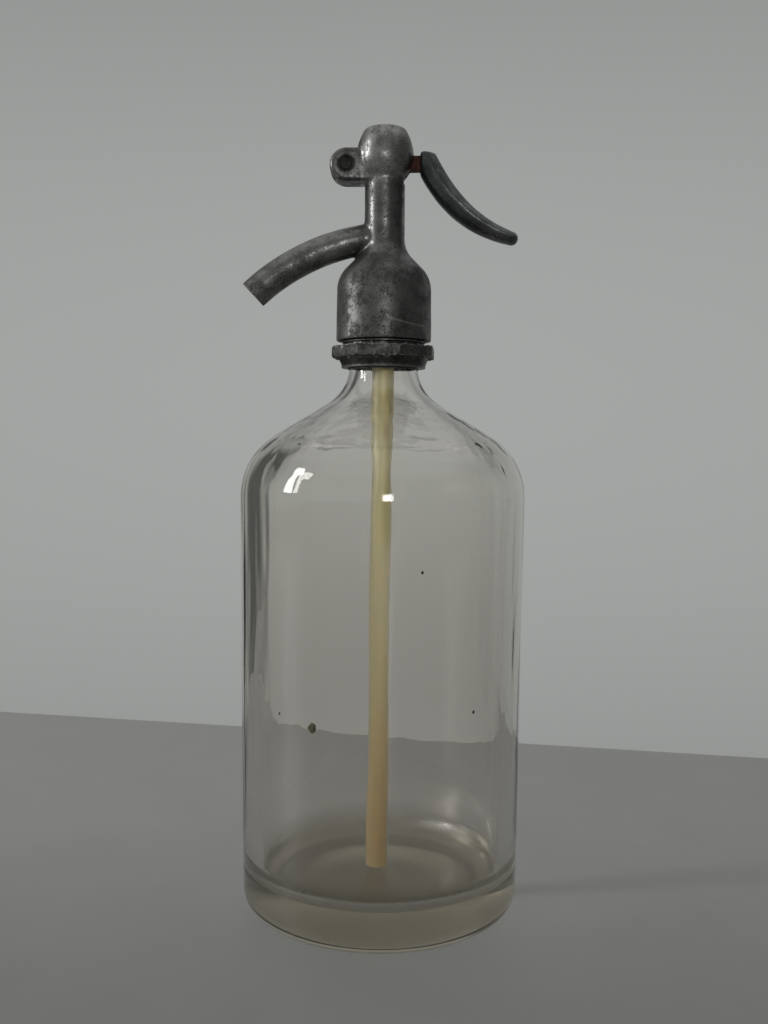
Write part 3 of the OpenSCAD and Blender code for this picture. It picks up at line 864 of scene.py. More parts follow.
@dataclass(frozen=True)
class CollarPewter(Pewter):
    """The collar's pewter, darker below the flange with painted shade."""

    flange_z: float = 204.699

    def tones(self, g: Graph, place: bpy.types.NodeSocket, colour: object) -> object:
        """Darkens the skirt and the split ring, as painted shade under the flange.

        Args:
            g: The graph that the nodes go into.
            place: Coordinates in millimetres.
            colour: The plain metal's colour.

        Returns:
            The colour by height.
        """
        height = g.axes(place)["Z"]
        # Painted shade: the colour is halved below the flange's underside
        gain = g.remap(height, self.flange_z - 1.2, self.flange_z + 0.6, 0.5, 1.0)
        return g.scaled(colour, gain)


@dataclass(frozen=True)
class Rust(Finish):
    """Rusty steel, flaky and dull."""

    dark: Colour = (0.045, 0.015, 0.010)
    light: Colour = (0.115, 0.038, 0.024)
    pit_colour: Colour = (0.03, 0.016, 0.012)
    bare: float = 0.25
    roughness: float = 0.78

    def inputs(self, graph: Graph) -> dict:
        """Rust colours over a little bare steel.

        Args:
            graph: The graph of the material.

        Returns:
            The shader's inputs by name.
        """
        g = graph
        place = g.millimetres()
        mottle = MOTTLE.use(g, place, Scale=0.7)["Mask"]
        pits = PITS.use(g, place, Scale=2.0, Amount=0.7)["Mask"]
        colour = g.blend(mottle, self.dark, self.light)
        colour = g.blend(g.math("MULTIPLY", pits, 0.7), colour, self.pit_colour)
        flakes = g.bump(g.noise(place, 1.8, 6.0, 0.7), 0.12)
        return {"Base Color": colour, "Metallic": self.bare, "Roughness": self.roughness,
                "Normal": g.bump(pits, -0.1, flakes)}


@dataclass(frozen=True)
class TurnedMetal(Finish):
    """Plain turned metal of the parts inside the head: brass, or the spring's steel."""

    dark: Colour = (0.26, 0.17, 0.07)
    light: Colour = (0.50, 0.36, 0.16)

    def inputs(self, graph: Graph) -> dict:
        """Tarnish over turning rings.

        Args:
            graph: The graph of the material.

        Returns:
            The shader's inputs by name.
        """
        g = graph
        place = g.millimetres()
        mottle = MOTTLE.use(g, place, Scale=0.35)["Mask"]
        rings = TURNING.use(g, place, Rings_per_mm=6.0)["Height"]
        return {"Base Color": g.blend(mottle, self.dark, self.light), "Metallic": 0.95,
                "Roughness": g.remap(mottle, 0, 1, 0.45, 0.3), "Normal": g.bump(rings, 0.02)}


@dataclass(frozen=True)
class SoftSeal(Finish):
    """Matt rubber, or pressed fibre, with a fine grain."""

    dark: Colour = (0.012, 0.012, 0.012)
    light: Colour = (0.035, 0.034, 0.032)
    grain: float = 3.0

    def inputs(self, graph: Graph) -> dict:
        """A powdery bloom over a fine grain.

        Args:
            graph: The graph of the material.

        Returns:
            The shader's inputs by name.
        """
        g = graph
        place = g.millimetres()
        bloom = MOTTLE.use(g, place, Scale=0.5)["Mask"]
        grain = g.noise(place, self.grain, 4.0, 0.6)
        return {"Base Color": g.blend(bloom, self.dark, self.light),
                "Roughness": g.remap(bloom, 0, 1, 0.62, 0.85), "Normal": g.bump(grain, 0.03)}


@dataclass(frozen=True)
class BottleGlass(Finish):
    """Thick moulded glass, nearly clear, with slow waves, a mould seam and a dull bottom."""

    clear: Colour = (1.0, 0.985, 0.972)
    # Haze with painted shade: the glass is a little darker half way up
    haze_and_shade_colour: Colour = (0.925, 0.90, 0.882)
    film: Colour = (0.39, 0.355, 0.27)
    film_roughness: float = 0.34
    haze_and_shade_top: Point = (165.0, 105.0)
    haze_and_shade_foot: Point = (40.0, 75.0)
    depth_colour: Colour = (0.68, 0.644, 0.54)
    density: float = 22.0
    wave_scale: float = 0.07
    wave_depth: float = 0.6
    wave_foot: Point = (28.0, 70.0)
    film_r: Point = (47.5, 45.0)
    film_top: Point = (27.0, 15.0)
    refraction: float = 1.51
    seam_depth: float = 0.08
    seam_turn: float = -126.0
    seam_half_turn: float = 0.45
    seam_top: float = 24.0

    def inputs(self, graph: Graph) -> dict:
        """Clear glass with waves above the base, a faint haze with painted shade half way up and a
        seam.

        Args:
            graph: The graph of the material.

        Returns:
            The shader's inputs by name.
        """
        g = graph
        place = g.millimetres()
        axes = g.axes(place)
        drawn_out = g.scaled(place, (1.0, 1.0, 0.1))
        waves = g.math("MULTIPLY", g.noise(drawn_out, self.wave_scale, 2.0, 0.45),
                       g.remap(axes["Z"], *self.wave_foot))
        # Haze with painted shade, full between 75 and 105 millimetres up
        haze_and_shade = g.math("MULTIPLY", g.remap(axes["Z"], *self.haze_and_shade_top),
                      g.remap(axes["Z"], *self.haze_and_shade_foot))
        from_axis = g.distance(g.scaled(place, (1.0, 1.0, 0.0)), (0.0, 0.0, 0.0))
        film = g.math("MULTIPLY", g.remap(from_axis, *self.film_r),
                      g.remap(axes["Z"], *self.film_top))
        colour = g.blend(haze_and_shade, self.clear, self.haze_and_shade_colour)
        colour = g.blend(film, colour, self.film)
        turn = g.math("ARCTAN2", axes["Y"], axes["X"])
        seam_at = math.radians(self.seam_turn)
        off_seam = g.math("PINGPONG", g.math("SUBTRACT", turn, seam_at), math.pi / 2)
        seam = g.remap(off_seam, 0.0, math.radians(self.seam_half_turn), 1.0, 0.0)
        low_down = g.remap(axes["Z"], self.seam_top * 0.6, self.seam_top, 1, 0)
        seam = g.math("MULTIPLY", seam, low_down)
        relief = g.bump(seam, self.seam_depth, g.bump(waves, self.wave_depth))
        return {"Base Color": colour, "Roughness": g.math("MULTIPLY", film, self.film_roughness),
                "IOR": self.refraction, "Transmission Weight": 1.0, "Normal": relief}

    def extras(self, graph: Graph, output: bpy.types.Node) -> None:
        """Colour that deepens with the thickness of the glass.

        Args:
            graph: The graph of the material.
            output: The material's output node.
        """
        volume = graph.add("ShaderNodeVolumeAbsorption",
                           {"Color": (*self.depth_colour, 1.0), "Density": self.density})
        graph.feed(output.inputs["Volume"], volume.outputs[0])


@dataclass(frozen=True)
class AmberTube(Finish):
    """Yellowed translucent tube, browner towards its lower end."""

    top: Colour = (0.97, 0.90, 0.62)
    foot: Colour = (0.86, 0.72, 0.44)
    top_z: float = 200.0
    foot_z: float = 15.0
    roughness: float = 0.34
    refraction: float = 1.46
    clearness: float = 0.8
    scatter: float = 0.6
    scatter_m: tuple[float, float, float] = (0.008, 0.006, 0.003)

    def inputs(self, graph: Graph) -> dict:
        """Colour by height, with cloudy patches.

        Args:
            graph: The graph of the material.

        Returns:
            The shader's inputs by name.
        """
        g = graph
        place = g.millimetres()
        height = g.axes(place)["Z"]
        cloud = g.math("MULTIPLY_ADD", g.noise(g.scaled(place, (1, 1, 0.2)), 0.2, 3.0), 60.0, -30.0)
        low = g.remap(g.math("ADD", height, cloud), self.foot_z, self.top_z * 0.6, 1.0, 0.0)
        return {"Base Color": g.blend(low, self.top, self.foot), "Roughness": self.roughness,
                "IOR": self.refraction, "Transmission Weight": self.clearness,
                "Subsurface Weight": self.scatter, "Subsurface Radius": self.scatter_m,
                "Normal": g.bump(g.noise(place, 0.9, 3.0), 0.03)}


@dataclass(frozen=True)
class Residue(Finish):
    """Dried dirt on the inside of the glass."""

    dark: Colour = (0.07, 0.075, 0.04)
    light: Colour = (0.22, 0.22, 0.13)

    def inputs(self, graph: Graph) -> dict:
        """Crusty and dull.

        Args:
            graph: The graph of the material.

        Returns:
            The shader's inputs by name.
        """
        g = graph
        place = g.millimetres()
        mask = MOTTLE.use(g, place, Scale=1.1)["Mask"]
        return {"Base Color": g.blend(mask, self.dark, self.light), "Roughness": 0.9,
                "Normal": g.bump(g.noise(place, 2.5, 4.0), 0.1)}


@dataclass(frozen=True)
class Matt(Finish):
    """The plain pale table top, with painted shade that makes it a little darker in front of the
    bottle than behind it.
    """

    dark: Colour = (0.31, 0.312, 0.298)
    light: Colour = (0.36, 0.363, 0.348)
    grain: float = 0.02
    roughness: float = 0.5
    # Gains of the painted shade, at the front and at the back
    front: float = 0.76
    back: float = 1.05
    front_y: float = -140.0
    back_y: float = 130.0

    def inputs(self, graph: Graph) -> dict:
        """A slow, faint change of tone, times a painted shade from front to back.

        Args:
            graph: The graph of the material.

        Returns:
            The shader's inputs by name.
        """
        g = graph
        place = g.millimetres()
        tone = g.blend(g.noise(place, self.grain, 4.0, 0.6), self.dark, self.light)
        # Painted shade: the top is darker towards the front
        depth = g.axes(place)["Y"]
        gain = g.remap(depth, self.front_y, self.back_y, self.front, self.back)
        tone = g.scaled(tone, gain)
        return {"Base Color": tone, "Roughness": self.roughness, "Specular IOR Level": 0.5}


HEAD_PEWTER = HeadPewter("dull_head_pewter")
HANDLE_PEWTER = Pewter("dark_handle_pewter", dark=(0.065, 0.068, 0.070), light=(0.14, 0.146, 0.15),
                       gloss=(0.26, 0.38), rings=0.0, pit_scale=0.6, pits=0.0, wear_and_highlight=0.12)
COLLAR_PEWTER = CollarPewter("rough_collar_pewter", dark=(0.05, 0.051, 0.049),
                             light=(0.15, 0.15, 0.145), gloss=(0.40, 0.68), rings=0.004,
                             pit_scale=1.4, pits=0.72, wear_and_highlight=0.9)
PIN_STEEL = Pewter("dark_pin", dark=(0.014, 0.013, 0.012), light=(0.035, 0.034, 0.032),
                   gloss=(0.5, 0.65), rings=0.0, pits=0.8, wear_and_highlight=0.15, metallic=0.7)
SHANK_RUST = Rust("rusty_shank")
BRASS = TurnedMetal("dull_brass")
SPRING_STEEL = TurnedMetal("drawn_spring_steel", dark=(0.20, 0.20, 0.20), light=(0.42, 0.42, 0.42))
RUBBER = SoftSeal("matt_black_rubber")
FIBRE = SoftSeal("pressed_red_fibre", dark=(0.16, 0.035, 0.02), light=(0.28, 0.075, 0.045),
                 grain=5.0)
GLASS = BottleGlass("clear_thick_glass")
AMBER = AmberTube("yellowed_tube")
CRUST = Residue("dried_residue")
TABLE_TOP = Matt("pale_floor")
DARK_SPECK = Residue("dark_speck", dark=(0.012, 0.011, 0.01), light=(0.03, 0.028, 0.024))


# --------------------------------------------------------------------------- the bottle


@dataclass(frozen=True)
class Crumb:
    """A crumb of dried dirt on the inside of the front wall of the glass."""

    name: str
    x: float
    z: float
    half_w: float
    finish: Finish
    flatness: float = 0.22
    stretch: float = 1.2


@dataclass
class Bottle:
    """The glass: its sizes, its outline and the marks on its inside."""

    widest_r: float = 52.5
    base_r: float = 51.2
    wall: float = 7.0
    shoulder_z: float = 154.0
    shoulder_r: float = 26.0
    shoulder_slope: float = 31.0
    neck_r: float = 12.3
    neck_fillet_r: float = 18.0
    bore_r: float = 8.6
    heel_r: float = 9.0
    floor_z: float = 13.4
    inner_corner_r: float = 9.0
    push_up: float = 2.5
    foot_ring_w: float = 6.0
    groove_r: float = 11.3
    groove_h: float = 2.6
    bead_r: float = 13.0
    mouth_h: float = 9.4
    mouth_round: float = 1.0
    crumbs: tuple[Crumb, ...] = (
        Crumb("residue", -21.8, 77.0, 1.5, CRUST),
        Crumb("speck_high", 12.9, 130.7, 0.45, DARK_SPECK),
        Crumb("speck_left", -32.5, 80.0, 0.4, DARK_SPECK),
        Crumb("speck_right", 29.9, 81.6, 0.45, DARK_SPECK))
    steps: int = 168

    def __post_init__(self) -> None:
        """Works out where the neck and the mouth are."""
        slope = math.radians(self.shoulder_slope)
        end_x = self.widest_r - self.shoulder_r * (1 - math.sin(slope))
        end_z = self.shoulder_z + self.shoulder_r * math.cos(slope)
        fillet_x = self.neck_r + self.neck_fillet_r * (1 - math.sin(slope))
        fillet_z = end_z + (end_x - fillet_x) * math.tan(slope)
        self.neck_z = fillet_z + self.neck_fillet_r * math.cos(slope)
        self.mouth_z = self.neck_z + self.mouth_h

    def outside(self) -> list[Point]:
        """The outer face, from the middle of the base up to the mouth.

        Returns:
            Radius and height of each corner in millimetres.
        """
        foot_r = self.base_r - self.heel_r
        dome_r = foot_r - self.foot_ring_w
        groove_z = self.neck_z + self.neck_r - self.groove_r
        groove_top = groove_z + self.groove_h
        dome = [(dome_r * i / 12, self.push_up * (1 - (i / 12) ** 2)) for i in range(13)]
        return [
            *dome,
            *arc((foot_r, self.heel_r), self.heel_r, -90, 0, 16),
            *[(self.base_r + (self.widest_r - self.base_r) * i / 6,
               self.heel_r + (self.shoulder_z - self.heel_r) * i / 6) for i in range(1, 6)],
            *arc((self.widest_r - self.shoulder_r, self.shoulder_z), self.shoulder_r,
                 0, 90 - self.shoulder_slope, 20),
            *arc((self.neck_r + self.neck_fillet_r, self.neck_z), self.neck_fillet_r,
                 270 - self.shoulder_slope, 180, 16),
            (self.groove_r, groove_z),
            (self.groove_r, groove_top),
            (self.bead_r, groove_top + self.bead_r - self.groove_r),
            *arc((self.bead_r - self.mouth_round, self.mouth_z - self.mouth_round),
                 self.mouth_round, 0, 90, 5),
        ]

    def inside(self) -> list[Point]:
        """The inner face, from the mouth down to the middle of the floor.

        Returns:
            Radius and height of each corner in millimetres.
        """
        wall_r = self.base_r - self.wall
        wide_r = self.widest_r - self.wall
        corner = (wall_r - self.inner_corner_r, self.floor_z + self.inner_corner_r)
        return [
            *arc((self.bore_r + self.mouth_round, self.mouth_z - self.mouth_round),
                 self.mouth_round, 90, 180, 5),
            *arc((self.neck_r + self.neck_fillet_r, self.neck_z),
                 self.neck_fillet_r + self.neck_r - self.bore_r, 180,
                 270 - self.shoulder_slope, 16),
            *arc((self.widest_r - self.shoulder_r, self.shoulder_z),
                 self.shoulder_r - self.wall, 90 - self.shoulder_slope, 0, 20),
            *[(wide_r + (wall_r - wide_r) * i / 6,
               self.shoulder_z + (corner[1] - self.shoulder_z) * i / 6) for i in range(1, 6)],
            *arc(corner, self.inner_corner_r, 0, -90, 16),
            (corner[0] / 2, self.floor_z),
            (0.0, self.floor_z),
        ]

    def build(self) -> None:
        """Makes the glass and the dried marks inside it."""
        glass = turned("glass", self.outside() + self.inside(), self.steps)
        polish(glass, 50)
        glass.visible_shadow = False
        glass.visible_diffuse = False
        GLASS.dress(glass)
        place_piece(glass, Body.STILL, "bottle_glass", "glass_base", "glass_wall",
                    "glass_shoulder")
        for crumb in self.crumbs:
            self.stick(crumb)

    def stick(self, crumb: Crumb) -> None:
        """Makes a crumb and sticks it to the glass.

        Args:
            crumb: Its name, place, size and finish.
        """
        low = self.floor_z + self.inner_corner_r
        foot_r, top_r = self.base_r - self.wall, self.widest_r - self.wall
        inner_r = foot_r + (top_r - foot_r) * (crumb.z - low) / (self.shoulder_z - low)
        turn = math.asin(crumb.x / inner_r)
        clear_selection()
        bpy.ops.mesh.primitive_ico_sphere_add(
            subdivisions=4, radius=crumb.half_w * MM, rotation=(0, 0, turn),
            scale=(1.0, crumb.flatness, crumb.stretch),
            location=(crumb.x * MM, -inner_r * math.cos(turn) * MM, crumb.z * MM))
        piece = settle(crumb.name)
        dent(piece, crumb.half_w * 0.8, crumb.half_w * 0.7)
        polish(piece)
        crumb.finish.dress(piece)
        place_piece(piece, Body.STILL, "bottle_glass")


# --------------------------------------------------------------------------- the head


@dataclass(frozen=True)
class Pivot:
    """The pin that the lever turns on, along Y."""

    x: float = -14.1
    z: float = 274.199
    pin_r: float = 2.2
    sink: float = 0.5
    sink_w: float = 0.7
    end_sink: float = 0.15
    end_round: float = 0.5

    def bar(self, name: str, radius: float, length: float, sides: int = 64) -> bpy.types.Object:
        """A cylinder along the pivot's axis, centred on the middle plane."""
        return rod(name, radius, length, (self.x, 0, self.z), (90, 0, 0), sides)


PIVOT = Pivot()


@dataclass
class Head:
    """The head casting: bell, column, ball, lug and spout, with its bores."""

    rim_z: float = 210.999
    rim_r: float = 17.5
    top_r: float = 17.3
    bell_round_z: float = 229.499
    bell_round_r: float = 11.6
    column_r: float = 7.35
    column_fillet_r: float = 10.7
    ball_z: float = 277.499
    ball_r: float = 10.5
    ball_side_r: float = 18.5
    ball_edge_r: float = 2.6
    ball_top_h: float = 10.7
    roof_z: float = 217.499
    bell_bore_r: float = 15.45
    chamber_r: float = 9.45
    chamber_z: float = 232.299
    lug_r: float = 6.0
    lug_w: float = 12.0
    lug_edge: float = 1.5
    spout_r: float = 5.5
    spout_bore_r: float = 2.75
    spout_h: float = 30.6
    spout_bend_r: float = 79.5
    spout_start: float = 9.8
    spout_end: float = 43.2
    spout_root_x: float = -1.0
    port_x: float = -2.4
    port_past_end: float = 2.0
    slot_w: float = 5.0
    slot_bottom: Point = (269.9, 12.0)
    slot_top_z: float = 278.5
    fillet: float = 2.2
    fillet_rounds: int = 22
    cast_rounds: int = 2
    lumps: Point = (6.0, 0.12)
    voxel: float = 0.42

    def __post_init__(self) -> None:
        """Works out the column's foot, the ball's edge and the middle of the spout's bend."""
        foot_x = self.column_r + self.column_fillet_r * (1 - math.cos(math.pi / 4))
        drop = self.bell_round_r * math.sin(math.pi / 4)
        round_end_x = self.top_r - self.bell_round_r * (1 - math.cos(math.pi / 4))
        self.column_z = (self.bell_round_z + drop + round_end_x - foot_x
                         + self.column_fillet_r * math.sin(math.pi / 4))
        self.top_z = self.ball_z + self.ball_top_h
        edge_z = self.top_z - self.ball_edge_r
        reach = self.ball_side_r - self.ball_edge_r
        self.edge_turn = math.degrees(math.asin((edge_z - self.ball_z) / reach))
        self.edge_at = (self.ball_r - self.ball_side_r
                        + reach * math.cos(math.radians(self.edge_turn)), edge_z)
        start = math.radians(self.spout_start)
        self.bend_x = self.spout_bend_r * math.sin(start) - self.column_r
        self.bend_z = self.roof_z + self.spout_h - self.spout_bend_r * math.cos(start)

    def outline(self) -> list[Point]:
        """The outside of the turned body, from the rim up.

        Returns:
            Radius and height of each corner in millimetres.
        """
        low = math.degrees(math.acos(self.column_r / self.ball_r))
        return [
            (0.0, self.rim_z), (self.rim_r, self.rim_z),
            *arc((self.top_r - self.bell_round_r, self.bell_round_z), self.bell_round_r, 0, 45),
            *arc((self.column_r + self.column_fillet_r, self.column_z), self.column_fillet_r,
                 225, 180),
            *arc((0, self.ball_z), self.ball_r, -low, 0, 16),
            *arc((self.ball_r - self.ball_side_r, self.ball_z), self.ball_side_r,
                 0, self.edge_turn, 10),
            *arc(self.edge_at, self.ball_edge_r, self.edge_turn, 90, 8),
            (0.0, self.top_z),
        ]

    def off_body(self, place: Vector) -> float:
        """How far a place is from the turned body's side.

        Args:
            place: The place in millimetres.

        Returns:
            The distance in millimetres, measured level.
        """
        points = self.outline()
        radius = self.top_r
        for (r0, z0), (r1, z1) in zip(points[1:], points[2:]):
            if z0 <= place.z <= z1 and z1 > z0:
                radius = r0 + (r1 - r0) * (place.z - z0) / (z1 - z0)
                break
        return abs(math.hypot(place.x, place.y) - radius)

    def off_spout(self, place: Vector) -> float:
        """How far a place is from the spout's side."""
        out = math.hypot(place.x - self.bend_x, place.z - self.bend_z) - self.spout_bend_r
        return abs(math.hypot(out, place.y) - self.spout_r)

    def off_lug(self, place: Vector) -> float:
        """How far a place is from the lug's sides.

        Args:
            place: The place in millimetres.

        Returns:
            The distance in millimetres, or the fillet's size on the lever's side.
        """
        along = max(PIVOT.x - place.x, 0.0)
        edge = abs(math.hypot(along, place.z - PIVOT.z) - self.lug_r)
        face = abs(abs(place.y) - self.lug_w / 2)
        return min(edge, face) if place.x < 0 else self.fillet

    def corner(self, place: Vector) -> float:
        """Where the fillets are wanted between spout, lug and turned body.

        Args:
            place: The place in millimetres.

        Returns:
            1 in a corner between two sides, 0 away from it.
        """
        reach = self.fillet
        near_spout = max(self.off_spout(place), self.off_body(place)) if place.x < 0 else reach
        low = place.z < self.ball_z - self.ball_r - 6
        near_lug = reach if low else max(self.off_lug(place), self.off_body(place))
        return 1 - min(near_spout if low else near_lug, reach) / reach

    def bend(self, name: str, radius: float, start: float, end: float) -> bpy.types.Object:
        """A round bar bent about the middle of the spout's bend.

        Args:
            name: Name of the piece.
            radius: Radius of the bar in millimetres.
            start: Its slope at the inner end, in degrees below level.
            end: Its slope at the outer end.

        Returns:
            The closed piece.
        """
        clear_selection()
        slope = math.radians(start)
        place = Vector((self.bend_x - self.spout_bend_r * math.sin(slope), 0,
                        self.bend_z + self.spout_bend_r * math.cos(slope)))
        bpy.ops.mesh.primitive_circle_add(vertices=72, radius=radius * MM, fill_type="NGON",
                                          location=place * MM,
                                          rotation=(0, math.pi / 2 - slope, 0))
        piece = settle(name)
        enter(Mode.EDIT)
        bpy.ops.mesh.select_all(action="SELECT")
        bpy.ops.mesh.spin(steps=48, angle=math.radians(end - start),
                          center=(self.bend_x * MM, 0, self.bend_z * MM), axis=(0, 1, 0))
        close_up()
        enter(Mode.OBJECT)
        return piece

    def lug(self) -> bpy.types.Object:
        """The lug: a round-ended bar from the pivot to the column, with rounded edges.

        Returns:
            The closed piece.
        """
        piece = PIVOT.bar("lug", self.lug_r, self.lug_w, 96)
        select_edges(piece, lambda a, b: min(a.x, b.x) > PIVOT.x + 0.1)
        bpy.ops.transform.translate(value=(-PIVOT.x * MM, 0, 0))
        enter(Mode.OBJECT)
        modify(piece, "BEVEL", width=self.lug_edge * MM, segments=5, limit_method="ANGLE",
               angle_limit=BEVELLED)
        return piece

    def bores(self) -> bpy.types.Object:
        """The bell's bore and the chamber above it.

        Returns:
            The piece to cut away.
        """
        return turned("bores", [
            (0, self.rim_z - OVER), (self.bell_bore_r, self.rim_z - OVER),
            (self.bell_bore_r, self.roof_z), (self.chamber_r, self.roof_z),
            (self.chamber_r, self.chamber_z), (0, self.chamber_z)], 96)

    def slot(self) -> bpy.types.Object:
        """The slot that the lever swings in, its bottom sloping down to the right.

        Returns:
            The piece to cut away.
        """
        bottom, slope = self.slot_bottom
        left, right = PIVOT.x - self.lug_r - OVER, self.ball_r + OVER
        piece = block("slot", (left, -self.slot_w / 2, bottom),
                      (right, self.slot_w / 2, self.slot_top_z))
        drop = right * math.tan(math.radians(slope))
        select_edges(piece, lambda a, b: min(a.x, b.x) > 0 and max(a.z, b.z) < PIVOT.z)
        bpy.ops.transform.translate(value=(0, 0, -drop * MM))
        enter(Mode.OBJECT)
        return piece

    def build(self) -> None:
        """Makes the casting."""
        root = math.degrees(math.asin((self.bend_x - self.spout_root_x) / self.spout_bend_r))
        port = math.degrees(math.asin((self.bend_x - self.port_x) / self.spout_bend_r))
        head = turned("head", self.outline(), 192)
        carve(head, self.bend("spout", self.spout_r, root, self.spout_end), self.lug(),
              how="UNION")
        modify(head, "REMESH", mode="VOXEL", voxel_size=self.voxel * MM)
        mark(head, "corners", self.corner)
        soften(head, self.fillet_rounds, "corners")
        soften(head, self.cast_rounds)
        dent(head, *self.lumps)
        carve(head, self.bores(), self.slot(),
              self.bend("port", self.spout_bore_r, port, self.spout_end + self.port_past_end),
              PIVOT.bar("pin_bore", PIVOT.pin_r, self.lug_w + 2 * OVER))
        for side in (-1, 1):
            ring = rod("sunk", PIVOT.pin_r + PIVOT.sink_w, 2 * PIVOT.sink,
                       (PIVOT.x, side * self.lug_w / 2, PIVOT.z), (90, 0, 0))
            carve(head, ring)
        polish(head, 40)
        HEAD_PEWTER.dress(head)
        place_piece(head, Body.STILL, "head_pewter", "head_casting")
        self.pin()

    def pin(self) -> None:
        """Makes the pin, its ends a little domed and sunk in the lug."""
        pin = PIVOT.bar("pin", PIVOT.pin_r, self.lug_w - 2 * PIVOT.end_sink, 48)
        modify(pin, "BEVEL", width=PIVOT.end_round * MM, segments=4, limit_method="ANGLE",
               angle_limit=BEVELLED)
        polish(pin)
        PIN_STEEL.dress(pin)
        place_piece(pin, Body.STILL, "pin_steel", "pivot_pin")


# --------------------------------------------------------------------------- the collar


@dataclass
class Collar:
    """The eight-sided flange with its sleeve and skirt, and the split ring inside it."""

    flange_z: float = 204.699
    flange_t: float = 4.2
    corner_r: float = 19.8
    flange_turn: float = 17.0
    flange_bevel: float = 0.8
    top_z: float = 217.099
    sleeve_r: float = 15.35
    thread_pitch: float = 1.5
    thread_depth: float = 0.5
    thread_turns: int = 5
    thread_shares: tuple[float, ...] = (0.0, 0.3, 0.5, 0.8)
    bore_r: float = 13.6
    lip_r: float = 13.1
    skirt_r: float = 16.5
    skirt_end_r: float = 15.5
    skirt_h: float = 3.5
    split_z: float = 200.499
    split_gap: float = 0.8
    ring_play: float = 0.05
    cast_rounds: int = 3
    chip_reach: float = 1.2
    chips: Point = (1.6, 0.9)
    lumps: Point = (5.0, 0.15)
    foot_lumps: Point = (2.2, 0.7)
    lumpy_z: float = 202.5
    lumpy_fade: float = 1.5
    voxel: float = 0.3

    def build(self) -> None:
        """Makes the collar and the two halves of the split ring."""
        self.flange()
        for name, start in (("split_ring_front", 180.0), ("split_ring_back", 0.0)):
            self.half_ring(name, start)

    def flange(self) -> None:
        """Makes the flange with its sleeve and skirt, chipped along the edges."""
        top = self.flange_z + self.flange_t
        skirt_z = self.flange_z - self.skirt_h
        root_r = self.sleeve_r - self.thread_depth
        radii = (root_r, self.sleeve_r, self.sleeve_r, root_r)
        thread = [(r, self.top_z - (turn + share) * self.thread_pitch)
                  for turn in range(self.thread_turns)
                  for r, share in zip(radii, self.thread_shares)]
        sleeve = turned("sleeve", [
            (0, skirt_z), (self.skirt_end_r, skirt_z),
            (self.skirt_end_r, skirt_z + 0.3 * self.skirt_h),
            (self.skirt_r - 0.3, skirt_z + 0.75 * self.skirt_h),
            (self.skirt_r, self.flange_z), (root_r, self.flange_z + 0.5),
            *reversed(thread), (0, self.top_z)], 128)
        plate = rod("collar", self.corner_r, self.flange_t,
                    (0, 0, self.flange_z + self.flange_t / 2), (0, 0, self.flange_turn - 90), 8)
        bevel = self.flange_bevel
        limit = turned("limit", [
            (0, self.flange_z), (self.corner_r - bevel, self.flange_z),
            (self.corner_r, self.flange_z + bevel), (self.corner_r, top - bevel),
            (self.corner_r - bevel, top), (0, top)], 96)
        carve(plate, limit, how="INTERSECT")
        modify(plate, "REMESH", mode="VOXEL", voxel_size=self.voxel * MM)
        soften(plate, self.cast_rounds)
        reach = self.chip_reach
        mark(plate, "edges",
             lambda p: 1 - min(abs(p.z - top), abs(p.z - self.flange_z), reach) / reach
             if math.hypot(p.x, p.y) > self.sleeve_r + 1 else 0.0)
        dent(plate, *self.chips, "edges")
        dent(plate, *self.lumps)
        carve(plate, sleeve, how="UNION")
        carve(plate, turned("bore", [
            (0, skirt_z - OVER), (self.lip_r, skirt_z - OVER), (self.lip_r, skirt_z),
            (self.bore_r, self.flange_z), (self.bore_r, self.top_z + OVER),
            (0, self.top_z + OVER)], 96))
        polish(plate, 30)
        COLLAR_PEWTER.dress(plate)
        place_piece(plate, Body.STILL, "collar_metal", "neck_collar")

    def half_ring(self, name: str, start: float) -> None:
        """Makes half of the split ring, lumpy where it shows under the skirt.

        Args:
            name: The CAD node that it stands for, without its ending.
            start: Angle at which the half begins, in degrees from +X.
        """
        bottle = Bottle()
        gap = self.ring_play
        groove_z = bottle.neck_z + bottle.neck_r - bottle.groove_r
        bead_z = groove_z + bottle.groove_h + bottle.bead_r - bottle.groove_r
        drop = bottle.neck_z - self.split_z
        foot_r = (bottle.neck_r + bottle.neck_fillet_r
                  - math.sqrt(bottle.neck_fillet_r ** 2 - drop ** 2))
        lip_x = bottle.bead_r - 2 * gap
        half = [
            (foot_r + gap, self.split_z), (self.lip_r - gap, self.split_z),
            (self.lip_r - gap, self.flange_z - self.skirt_h),
            (self.bore_r - gap, self.flange_z), (self.bore_r - gap, bead_z - 2 * gap),
            (lip_x, bead_z - 2 * gap - (bottle.bead_r - lip_x)),
            (bottle.groove_r + gap, groove_z + bottle.groove_h - gap),
            (bottle.groove_r + gap, groove_z + gap), (bottle.neck_r + gap, bottle.neck_z)]
        slit = math.degrees(math.asin(self.split_gap / 2 / bottle.groove_r))
        ring = turned(f"{name}_cast", half + half[:1], 64, 180 - 2 * slit, start + slit)
        modify(ring, "REMESH", mode="VOXEL", voxel_size=self.voxel * MM)
        mark(ring, "foot", lambda p: (self.lumpy_z - p.z) / self.lumpy_fade)
        dent(ring, *self.foot_lumps, "foot")
        polish(ring, 40)
        COLLAR_PEWTER.dress(ring)
        place_piece(ring, Body.STILL, "collar_metal", name)


# --------------------------------------------------------------------------- the lever


